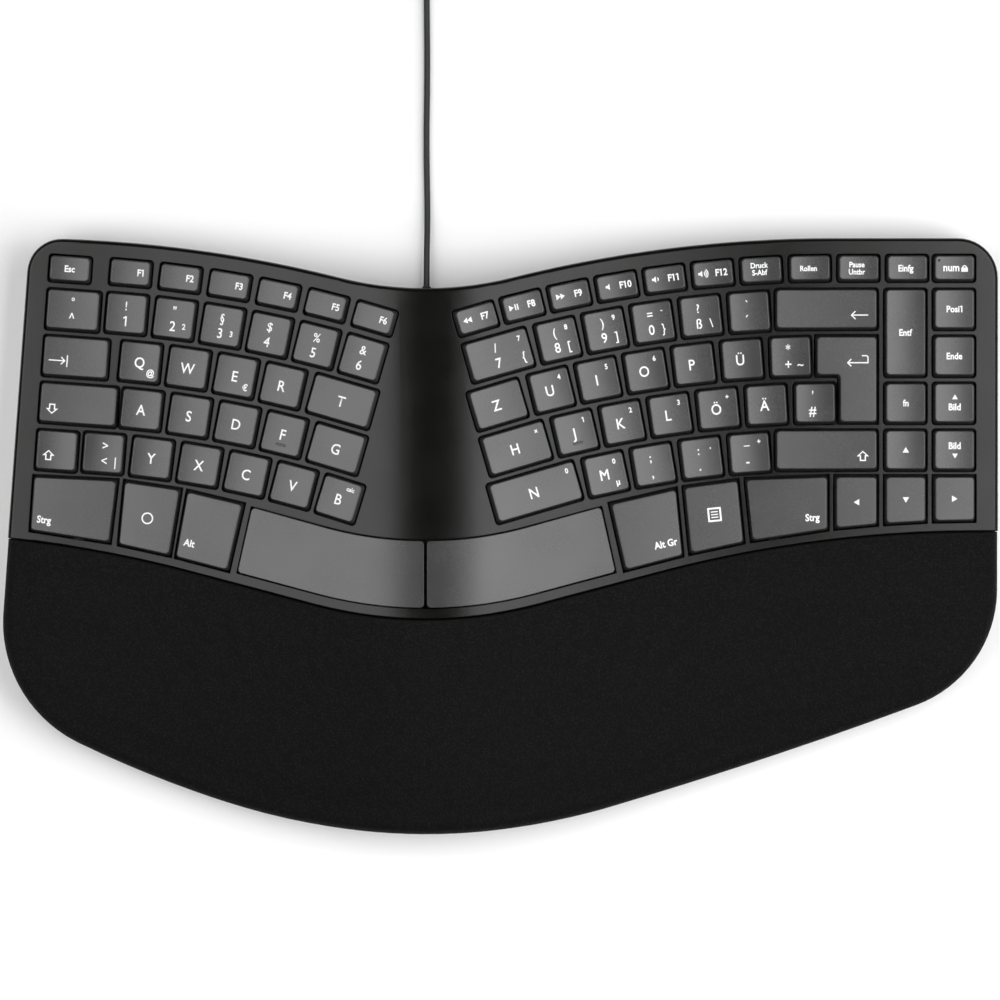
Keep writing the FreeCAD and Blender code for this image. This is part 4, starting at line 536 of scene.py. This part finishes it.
# Under the keys lies the guide plate with a sleeve for each plunger, and below it the sheet of
# silicone domes, the three printed films of the switch, and the steel plate that backs them.
dress("key_guide_plate", moulded("guide_skin", (0.012, 0.012, 0.012), 0.55, 2000.0, 0.1))
dress("rubber_domes", moulded("dome_silicone", (0.55, 0.55, 0.53), 0.6, 1200.0, 0.06))
dress("steel_plate", bare_metal("zinc_steel", (0.50, 0.51, 0.52), 0.42, (0.05, 1, 1), 900.0))
dress("screws", bare_metal("screw_steel", (0.42, 0.42, 0.42), 0.35, (1, 1, 1), 1500.0))
dress("membrane_clamp", bare_metal("clamp_steel", (0.55, 0.55, 0.56), 0.38, (0.05, 1, 1), 900.0))


def film(name, colour, ink):
    """A milky polyester film with bands of printed tracks."""
    material, tree, surface = new_finish(name)
    surface.inputs["Roughness"].default_value = 0.25
    surface.inputs["Coat Weight"].default_value = 0.3
    place = tree.nodes.new("ShaderNodeTexCoord")
    tracks = tree.nodes.new("ShaderNodeTexWave")
    tracks.inputs["Scale"].default_value = 90.0
    tracks.inputs["Distortion"].default_value = 0.4
    tree.links.new(place.outputs["Object"], tracks.inputs["Vector"])
    bands = tree.nodes.new("ShaderNodeMapRange")
    bands.inputs["From Min"].default_value = 0.80
    bands.inputs["From Max"].default_value = 0.86
    tree.links.new(tracks.outputs["Fac"], bands.inputs["Value"])
    two_tones(tree, surface, bands.outputs["Result"], colour, ink)
    return material


dress("membrane_top", film("upper_film", (0.45, 0.47, 0.47), (0.62, 0.62, 0.60)))
dress("membrane_spacer", film("spacer_film", (0.50, 0.52, 0.52), (0.47, 0.49, 0.49)))
dress("membrane_bottom", film("lower_film", (0.44, 0.46, 0.46), (0.60, 0.60, 0.58)))

# The board is green laminate with its chip on top, and is clamped to the tail of the films.  The
# inner lead runs from it to the strain relief.
dress("controller_board", moulded("board_laminate", (0.010, 0.085, 0.035), 0.35, 1500.0, 0.25))
dress("controller_chip", moulded("chip_resin", (0.012, 0.012, 0.013), 0.5, 4000.0, 0.08))
dress("inner_lead", moulded("lead_skin", (0.020, 0.020, 0.021), 0.45, 3000.0, 0.10))

# The keys are caps of dark grey plastic, moulded with a satin, dished top, on plungers that run in
# the sleeves.  Each node holds the caps of one column or one single key, and every body but the
# case carries one such node.
key_skin = moulded(
    "key_skin", (0.036, 0.036, 0.037), 0.26, 2600.0, 0.10, depth=0.02, worn=0.4, shine=0.75
)
for name in nodes:
    if name.startswith(("key_", "keys_")) and name != "key_guide_plate":
        dress(name, key_skin)

# The lettering is printed on the caps in near-white ink, hardly thicker than paint.  The print of
# each body's caps is one piece, which lies on their dished tops and rides with them.
ink, tree, surface = new_finish("legend_ink")
surface.inputs["Roughness"].default_value = 0.5
place = tree.nodes.new("ShaderNodeTexCoord")
ink_grain = noise_over(tree, place.outputs["Object"], 2500.0)
two_tones(tree, surface, ink_grain.outputs["Fac"], (0.80, 0.80, 0.79), (0.93, 0.93, 0.92))


# Signs that no font has are drawn as outlines, in millimetres about their middle; an outline
# inside another is a hole, and one inside a hole is filled again
def block(left, low, right, high):
    """An upright rectangle."""
    return [(left, low), (right, low), (right, high), (left, high)]


def arc(radius, angles, middle=(0, 0)):
    """Points on an arc at those angles."""
    across, up = middle
    return [(across + radius * math.cos(angle), up + radius * math.sin(angle)) for angle in angles]


def ring(radius, corners=24):
    """A circle about the middle."""
    return arc(radius, [2 * math.pi * step / corners for step in range(corners)])


def sound_wave(radius, half_stroke=0.14, half_angle=0.9, corners=8):
    """A curved bar that bulges to the right."""
    angles = [-half_angle + 2 * half_angle * step / corners for step in range(corners + 1)]
    return arc(radius + half_stroke, angles) + arc(radius - half_stroke, angles)[::-1]


STROKE = 0.45


def open_arrow(length, head):
    """Outline of an arrow to the left, with an open head as thick as its shaft."""
    tip, slant = -length / 2, STROKE * math.sqrt(0.5)
    upper = [
        (tip, 0.0),
        (tip + head, head),
        (tip + head + slant, head - slant),
        (tip + 2 * slant + STROKE / 2, STROKE / 2),
        (length / 2, STROKE / 2),
    ]
    return upper + [(x, -y) for x, y in upper[:0:-1]]


# The return arrow's shaft turns up at its right end and back over a rounded corner
LEFT_SHAFT = open_arrow(8.4, 1.55)
BEND_MIDDLE = (3.3, 2.05)
BEND_ANGLES = [math.pi / 6 * step for step in range(4)]
HOOK_END = 1.6
HOOKED_ARROW = [
    *LEFT_SHAFT[:4],
    (BEND_MIDDLE[0] + STROKE, STROKE / 2),
    *arc(STROKE, BEND_ANGLES, BEND_MIDDLE),
    (HOOK_END, BEND_MIDDLE[1] + STROKE),
    (HOOK_END, BEND_MIDDLE[1] + 2 * STROKE),
    *arc(2 * STROKE, BEND_ANGLES[::-1], BEND_MIDDLE),
    (BEND_MIDDLE[0] + 2 * STROKE, -STROKE / 2),
    *LEFT_SHAFT[6:],
]
BROAD_ARROW = [(-1.2, 2.0), (1.2, 2.0), (1.2, 0.2), (2.4, 0.2), (0, -2.0), (-2.4, 0.2), (-1.2, 0.2)]
BROAD_ARROW_HOLE = [
    (-0.7, 1.5), (0.7, 1.5), (0.7, -0.3), (1.25, -0.3), (0, -1.4), (-1.25, -0.3), (-0.7, -0.3),
]
SPEAKER = [(-1.3, -0.35), (-0.8, -0.35), (-0.1, -0.95), (-0.1, 0.95), (-0.8, 0.35), (-1.3, 0.35)]
SIGNS = {
    "up": [[(-1, -0.8), (1, -0.8), (0, 0.9)]],
    "down": [[(-1, 0.8), (0, -0.9), (1, 0.8)]],
    "left": [[(0.8, -1), (0.8, 1), (-0.9, 0)]],
    "right": [[(-0.8, -1), (0.9, 0), (-0.8, 1)]],
    "previous": [[(0, -0.9), (0, 0.9), (-1.3, 0)], [(1.3, -0.9), (1.3, 0.9), (0, 0)]],
    "next": [[(-1.3, -0.9), (0, 0), (-1.3, 0.9)], [(0, -0.9), (1.3, 0), (0, 0.9)]],
    "play": [
        [(-1.4, -0.9), (-0.1, 0), (-1.4, 0.9)],
        block(0.3, -0.9, 0.65, 0.9),
        block(1.0, -0.9, 1.35, 0.9),
    ],
    "mute": [SPEAKER],
    "quieter": [SPEAKER, sound_wave(0.6)],
    "louder": [SPEAKER, sound_wave(0.6), sound_wave(1.1), sound_wave(1.6)],
    "back": [open_arrow(6.8, 1.7)],
    "tab": [[(-x - 0.6, y) for x, y in open_arrow(6.5, 1.6)], block(3.05, -2.3, 3.5, 2.3)],
    "shift": [[(x, -y) for x, y in BROAD_ARROW], [(x, -y) for x, y in BROAD_ARROW_HOLE]],
    "lock": [BROAD_ARROW, BROAD_ARROW_HOLE],
    "enter": [HOOKED_ARROW],
    "ring": [ring(2.3), ring(1.75)],
    "page": [
        block(-2.65, -2.75, 2.65, 2.75),
        block(-1.95, -2.05, 1.95, 2.05),
        block(-1.35, 0.85, 1.35, 1.3),
        block(-1.35, -0.22, 1.35, 0.22),
        block(-1.35, -1.3, 1.35, -0.85),
    ],
    "padlock": [block(-1.1, -1.3, 1.1, 0.1), [(-y, x + 0.1) for x, y in sound_wave(0.62, 0.18, 1.57)]],
}

# Usual places of the print: how many millimetres to the right of and behind the middle of the
# cap's top it stands, and the height of a capital letter
PRINT = {
    "middle": (0.0, -0.1, 2.4),
    "letter": (-0.4, -0.3, 3.95),
    "upper": (-0.5, 2.85, 3.3),
    "lower": (-0.6, -3.05, 3.7),
    "extra": (4.2, -3.9, 2.4),
    "power": (3.8, -2.8, 2.1),
    "pad": (4.2, 4.2, 1.9),
    "brace": (4.1, -3.1, 3.3),
    "left_f": (-3.3, 0.1, 1.9),
    "right_f": (3.7, 0.1, 2.5),
}
WIDE_BRACE = ("text", 8.9, -3.2, 3.3)
WIDE_PAD = ("text", 8.8, 4.1, 1.9)
ARROW_KEY = ("sign", 0.0, 0.0, 1.25)
KEY_SIGN_SIZE = 1.3

# The wings are printed apart, and the right one's print lies a little further to the left
RIGHT_WING = -0.45
LEFT_WING = 0.35

# The printed face is narrower and heavier than the built-in one, and its small words most of all
TEXT_WIDTH = 0.89
LETTER_WEIGHT = 0.016
WORD_WEIGHT = 0.042
WORD_HEIGHT = 3.0


def figure(upper, lower, **more):
    """Print of a key that has a second sign above its figure or mark."""
    return {"upper": upper, "lower": lower, **more}


# What is printed on each key of a node, from the back of a column to its front and from the left
# of a row to its right.  A place of its own says text or sign, how far right and behind, and the
# height of a capital or the size of the sign; a word after a star is a sign at a usual place
LEGENDS = {
    "key_esc": [{"middle": "Esc"}],
    "key_tab": [{("sign", -6.6, -1.8, 1.0): "tab"}],
    "key_caps_lock": [{("sign", -10.0, -2.5, 1.0): "lock"}],
    "key_shift_left": [{("sign", -3.0, -2.0, 1.0): "shift"}],
    "keys_caret_column": [
        figure("°", "^"),
        {("text", 0.6, 2.85, 3.3): ">", ("text", 0.6, -3.05, 3.3): "<", ("text", 4.9, -3.05, 3.3): "|"},
    ],
    "keys_f1_column": [
        {"right_f": "F1"}, figure("!", "1"), {"letter": "Q", "extra": "@"},
        {"letter": "A"}, {"letter": "Y"},
    ],
    "keys_f2_column": [
        {"right_f": "F2"}, figure("\"", "2", power="2"), {"letter": "W"},
        {"letter": "S"}, {"letter": "X"},
    ],
    "keys_f3_column": [
        {"right_f": "F3"}, figure("§", "3", power="3"), {"letter": "E", "extra": "€"},
        {"letter": "D"}, {"letter": "C"},
    ],
    "keys_f4_column": [
        {"right_f": "F4"}, figure("$", "4"), {"letter": "R"}, {"letter": "F"}, {"letter": "V"},
    ],
    "keys_f5_column": [
        {"right_f": "F5"}, figure("%", "5"), {"letter": "T"},
        {"letter": "G"}, {"letter": "B", ("text", 3.4, 4.6, 1.6): "calc"},
    ],
    "keys_f6_column": [{"right_f": "F6"}, figure("&", "6")],
    "keys_f7_column": [
        {"right_f": "F7", "left_f": "*previous"},
        {"upper": "/", "lower": "7", WIDE_BRACE: "{", WIDE_PAD: "7"}, {"letter": "Z"},
        {"letter": "H", WIDE_PAD: "×"}, {"letter": "N", ("text", 13.6, 4.4, 1.9): "0"},
    ],
    "keys_f8_column": [
        {"right_f": "F8", "left_f": "*play"},
        figure("(", "8", brace="[", pad="8"), {"letter": "U", "pad": "4"},
        {"letter": "J", "pad": "1"}, {"letter": "M", "pad": "0", "extra": "µ"},
    ],
    "keys_f9_column": [
        {"right_f": "F9", "left_f": "*next"},
        figure(")", "9", brace="]", pad="9"), {"letter": "I", "pad": "5"},
        {"letter": "K", "pad": "2"}, figure(";", ","),
    ],
    "keys_f10_column": [
        {"right_f": "F10", "left_f": "*mute"},
        figure("=", "0", brace="}", pad="-"), {"letter": "O", "pad": "6"},
        {"letter": "L", "pad": "3"}, figure(":", ".", pad=","),
    ],
    "keys_f11_column": [
        {"right_f": "F11", "left_f": "*quieter"}, figure("?", "ß", brace="\\"), {"letter": "P"},
        {"letter": "Ö", "pad": "+"},
        {("text", -1.0, 4.9, 3.3): "_", "lower": "-", "pad": "+"},
    ],
    "keys_f12_column": [
        {"right_f": "F12", "left_f": "*louder"}, figure("`", "´"), {"letter": "Ü"}, {"letter": "Ä"},
    ],
    "keys_print_column": [
        {("text", -0.7, 1.7, 2.0): "Druck", ("text", -0.7, -1.1, 2.0): "S-Abf"},
        figure("*", "+", brace="~"), figure("'", "#"),
    ],
    "key_backspace": [{("sign", 12.7, -2.5, 1.0): "back"}],
    "key_enter": [{("sign", 4.2, 7.1, 1.0): "enter"}],
    "key_shift_right": [{("sign", 14.0, -2.4, 1.0): "shift"}],
    "key_delete": [{"middle": "Entf"}],
    "key_fn": [{"middle": "fn"}],
    "key_up": [{ARROW_KEY: "up"}],
    "key_left": [{ARROW_KEY: "left"}],
    "key_down": [{ARROW_KEY: "down"}],
    "key_right": [{ARROW_KEY: "right"}],
    "keys_system_row": [
        {("text", -0.6, -0.2, 2.0): "Rollen"},
        {("text", -0.7, 1.2, 2.0): "Pause", ("text", -0.7, -1.6, 2.0): "Untbr"},
        {("text", -0.6, -0.2, 2.4): "Einfg"},
        {("text", -1.2, 0.1, 2.8): "num", ("sign", 3.9, -0.3, 1.15): "padlock"},
    ],
    "keys_navigation_column": [
        {"middle": "Posi1"},
        {"middle": "Ende"},
        {("sign", 0.2, 2.3, 1.1): "up", ("text", 0.1, -1.6, 2.5): "Bild"},
        {("text", 0.1, 1.6, 2.5): "Bild", ("sign", 0.2, -2.4, 1.1): "down"},
    ],
    "key_ctrl_left": [{("text", -10.1, -6.4, 2.6): "Strg"}],
    "key_start": [{("sign", 0.0, 0.0, 1.0): "ring"}],
    "key_alt": [{("text", -5.8, -6.2, 2.6): "Alt"}],
    "key_alt_gr": [{("text", 4.5, -6.6, 2.6): "Alt Gr"}],
    "key_menu": [{("sign", 0.2, 0.8, 1.0): "page"}],
    "key_ctrl_right": [{("text", 9.3, -3.9, 2.6): "Strg"}],
}

INK_THICKNESS = 0.02 * MM
FLAG = [(0, 0), (0, -0.17), (-0.24, -0.30), (-0.24, -0.14)]
BAR_WIDTH = 0.25 * MM
BAR_FOOT, BAR_HEAD = 0.1 * MM, 0.9 * MM
printed_signs = {}


def flat_mesh(drawing):
    """The curve or text becomes a mesh, and its object goes."""
    mesh = bpy.data.meshes.new_from_object(drawing.evaluated_get(bpy.context.evaluated_depsgraph_get()))
    bpy.data.objects.remove(drawing)
    return mesh


def extent(points, axis):
    """Least and greatest measure of those vertices along an axis."""
    measures = [point.co[axis] for point in points]
    return min(measures), max(measures)


def islands(shape):
    """Lists of those vertices that edges join to one another."""
    left, found = set(shape.verts), []
    while left:
        island, reached = [left.pop()], 0
        while reached < len(island):
            for edge in island[reached].link_edges:
                other = edge.other_vert(island[reached])
                if other in left:
                    left.discard(other)
                    island.append(other)
            reached += 1
        found.append(island)
    return found


def add_flags(mesh):
    """The built-in face draws 1 as a bare bar: it gets the flag that the printed figure has."""
    shape = bmesh.new()
    shape.from_mesh(mesh)
    for island in islands(shape):
        left, right = extent(island, 0)
        low, high = extent(island, 1)
        if right - left < BAR_WIDTH and low < BAR_FOOT and high > BAR_HEAD:
            flag = [shape.verts.new((left + x * MM, high + y * MM, 0)) for x, y in FLAG]
            shape.faces.new(flag[::-1])
    shape.to_mesh(mesh)
    shape.free()


def letters_mesh(text, size, weight):
    """Flat letters of the built-in face, each stroke widened by the weight."""
    deselect_all()
    bpy.ops.object.text_add()
    letters = bpy.context.object
    letters.data.body = text
    letters.data.resolution_u = 3
    letters.data.size = size
    letters.data.offset = weight
    return flat_mesh(letters)


# A letter H tells how large the built-in face is drawn
low, high = extent(letters_mesh("H", MM, 0.0).vertices, 1)
CAPITALS_TO_SIZE = MM / (high - low)


def lettering(text, weight):
    """Flat letters whose capitals are 1 mm high, about the middle of their width and height."""
    if (text, weight) not in printed_signs:
        mesh = letters_mesh(text, CAPITALS_TO_SIZE * MM, weight * MM)
        if "1" in text:
            add_flags(mesh)
        left, right = extent(mesh.vertices, 0)
        mesh.transform(Matrix.Translation((-(left + right) / 2, -0.5 * MM, 0)))
        printed_signs[text, weight] = mesh
    return printed_signs[text, weight]


def drawn_sign(name):
    """A flat sign from its outlines."""
    if name not in printed_signs:
        curve = bpy.data.curves.new("sign", "CURVE")
        curve.dimensions = "2D"
        curve.fill_mode = "BOTH"
        for outline in SIGNS[name]:
            line = curve.splines.new("POLY")
            line.points.add(len(outline) - 1)
            for point, (x, y) in zip(line.points, outline):
                point.co = (x * MM, y * MM, 0, 1)
            line.use_cyclic_u = True
        sign = put_in_scene("sign", curve)
        bpy.context.view_layer.update()
        mesh = flat_mesh(sign)
        middle = [sum(extent(mesh.vertices, axis)) / 2 for axis in range(3)]
        mesh.transform(Matrix.Translation(-Vector(middle)))
        printed_signs[name] = mesh
    return printed_signs[name]


CAP_JOIN = 0.001 * MM
CAP_TOP_DEPTH = 0.8 * MM
ABOVE_CAPS = 0.1
STEPS_IN_DEGREE = 4
MOST_TURN = 30 * STEPS_IN_DEGREE


def cap_tops(piece, axis):
    """Middle and turn in plan of the top of each cap in a node, seen along its axis of travel."""
    caps = bmesh.new()
    caps.from_mesh(piece.data)
    bmesh.ops.remove_doubles(caps, verts=caps.verts, dist=CAP_JOIN)
    tops = []
    for island in islands(caps):
        highest = max(vert.co.dot(axis) for vert in island)
        top = [vert.co for vert in island if vert.co.dot(axis) > highest - CAP_TOP_DEPTH]
        least = None
        for step in range(-MOST_TURN, MOST_TURN + 1):
            turn = math.radians(step / STEPS_IN_DEGREE)
            cosine, sine = math.cos(turn), math.sin(turn)
            along = [point.x * cosine + point.y * sine for point in top]
            across = [point.y * cosine - point.x * sine for point in top]
            area = (max(along) - min(along)) * (max(across) - min(across))
            if least is None or area < least:
                u, v = (max(along) + min(along)) / 2, (max(across) + min(across)) / 2
                best = ((u * cosine - v * sine, u * sine + v * cosine), turn)
                least = area
        tops.append(best)
    caps.free()
    return tops


def sign_on_key(where, what, on_left_wing):
    """Flat mesh, shift to the right and behind, and width and height of one sign."""
    if isinstance(where, tuple):
        kind, right, behind, height = where
    else:
        kind, (right, behind, height) = "text", PRINT[where]
        if where != "middle":
            right += LEFT_WING if on_left_wing else RIGHT_WING
        if what.startswith("*") and len(what) > 1:
            kind, what, height = "sign", what[1:], KEY_SIGN_SIZE
    shift = (right * MM, behind * MM, 0)
    if kind == "sign":
        return drawn_sign(what), shift, height, height
    weight = WORD_WEIGHT if height < WORD_HEIGHT else LETTER_WEIGHT
    return lettering(what, weight), shift, TEXT_WIDTH * height, height


axis_of = {joint["child"]: -Vector(joint["axis"]) for joint in frame["joints"]}
body_of = {}
for body, members in frame["record"]["behaviour"]["bodies"].items():
    body_of.update(dict.fromkeys(members, body))

cap_places = {}
for node, prints in LEGENDS.items():
    piece, body = nodes[node], body_of[node]
    tops = cap_tops(piece, axis_of[body])
    if node == "keys_system_row":
        tops.sort(key=lambda top: top[0][0])
    else:
        tops.sort(key=lambda top: -top[0][1])
    target = ray_target(piece.data)
    cap_places[node] = (target, tops)
    printed = bmesh.new()
    for (spot, turn), signs in zip(tops, prints, strict=True):
        for where, what in signs.items():
            shape, shift, width, height = sign_on_key(where, what, spot[0] < RIDGE)
            sign_place = (
                Matrix.Translation((*spot, 0))
                @ Matrix.Rotation(turn, 4, "Z")
                @ Matrix.Translation(shift)
                @ Matrix.Diagonal((width, height, 1, 1))
            )
            before = len(printed.verts)
            printed.from_mesh(shape)
            printed.verts.ensure_lookup_table()
            for vert in printed.verts[before:]:
                vert.co = sign_place @ vert.co
                hit = target.ray_cast(Vector((vert.co.x, vert.co.y, ABOVE_CAPS)), DOWN)[0]
                if hit is None:
                    raise ValueError(f"{node}: {what} lies off its cap")
                vert.co.z = hit.z + INK_THICKNESS
    mesh = bpy.data.meshes.new("legend_" + body)
    printed.to_mesh(mesh)
    printed.free()
    mesh.materials.append(ink)
    legend = put_in_scene("legend_" + body, mesh)
    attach(legend, body)

# The num key has a small dark lens over its lamp.  It is clear resin, pressed into a hole near the
# left edge of the cap.
LENS_RADIUS = 0.5 * MM
LENS_FLATNESS = 0.3
NUM_KEY = 3


def on_cap(node, index, right, behind):
    """Place and tilt of a spot on a cap's top, from its shift in millimetres."""
    target, tops = cap_places[node]
    spot, turn = tops[index]
    along = Vector((math.cos(turn), math.sin(turn), 0))
    away = Vector((-along.y, along.x, 0))
    above = Vector((*spot, ABOVE_CAPS)) + along * right * MM + away * behind * MM
    point, normal = target.ray_cast(above, DOWN)[:2]
    across = normal.cross(along).normalized()
    axes = Matrix((across.cross(normal), across, normal)).transposed()
    return Matrix.Translation(point) @ axes.to_4x4()


lens_skin = moulded("lens_skin", (0.004, 0.004, 0.004), 0.12, 400.0, 0.05, depth=0.01)
deselect_all()
bpy.ops.mesh.primitive_uv_sphere_add(segments=20, ring_count=10, radius=LENS_RADIUS)
bpy.ops.object.mode_set(mode="EDIT")
bpy.ops.mesh.select_all(action="SELECT")
bpy.ops.transform.resize(value=(1, 1, LENS_FLATNESS))
bpy.ops.object.mode_set(mode="OBJECT")
num_lens = bpy.context.object
num_lens.name = num_lens.data.name = "num_lamp_lens"
num_lens.data.transform(on_cap("keys_system_row", NUM_KEY, right=-5.9, behind=2.8))
num_lens.data.materials.append(lens_skin)
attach(num_lens, body_of["keys_system_row"])

bpy.context.view_layer.update()
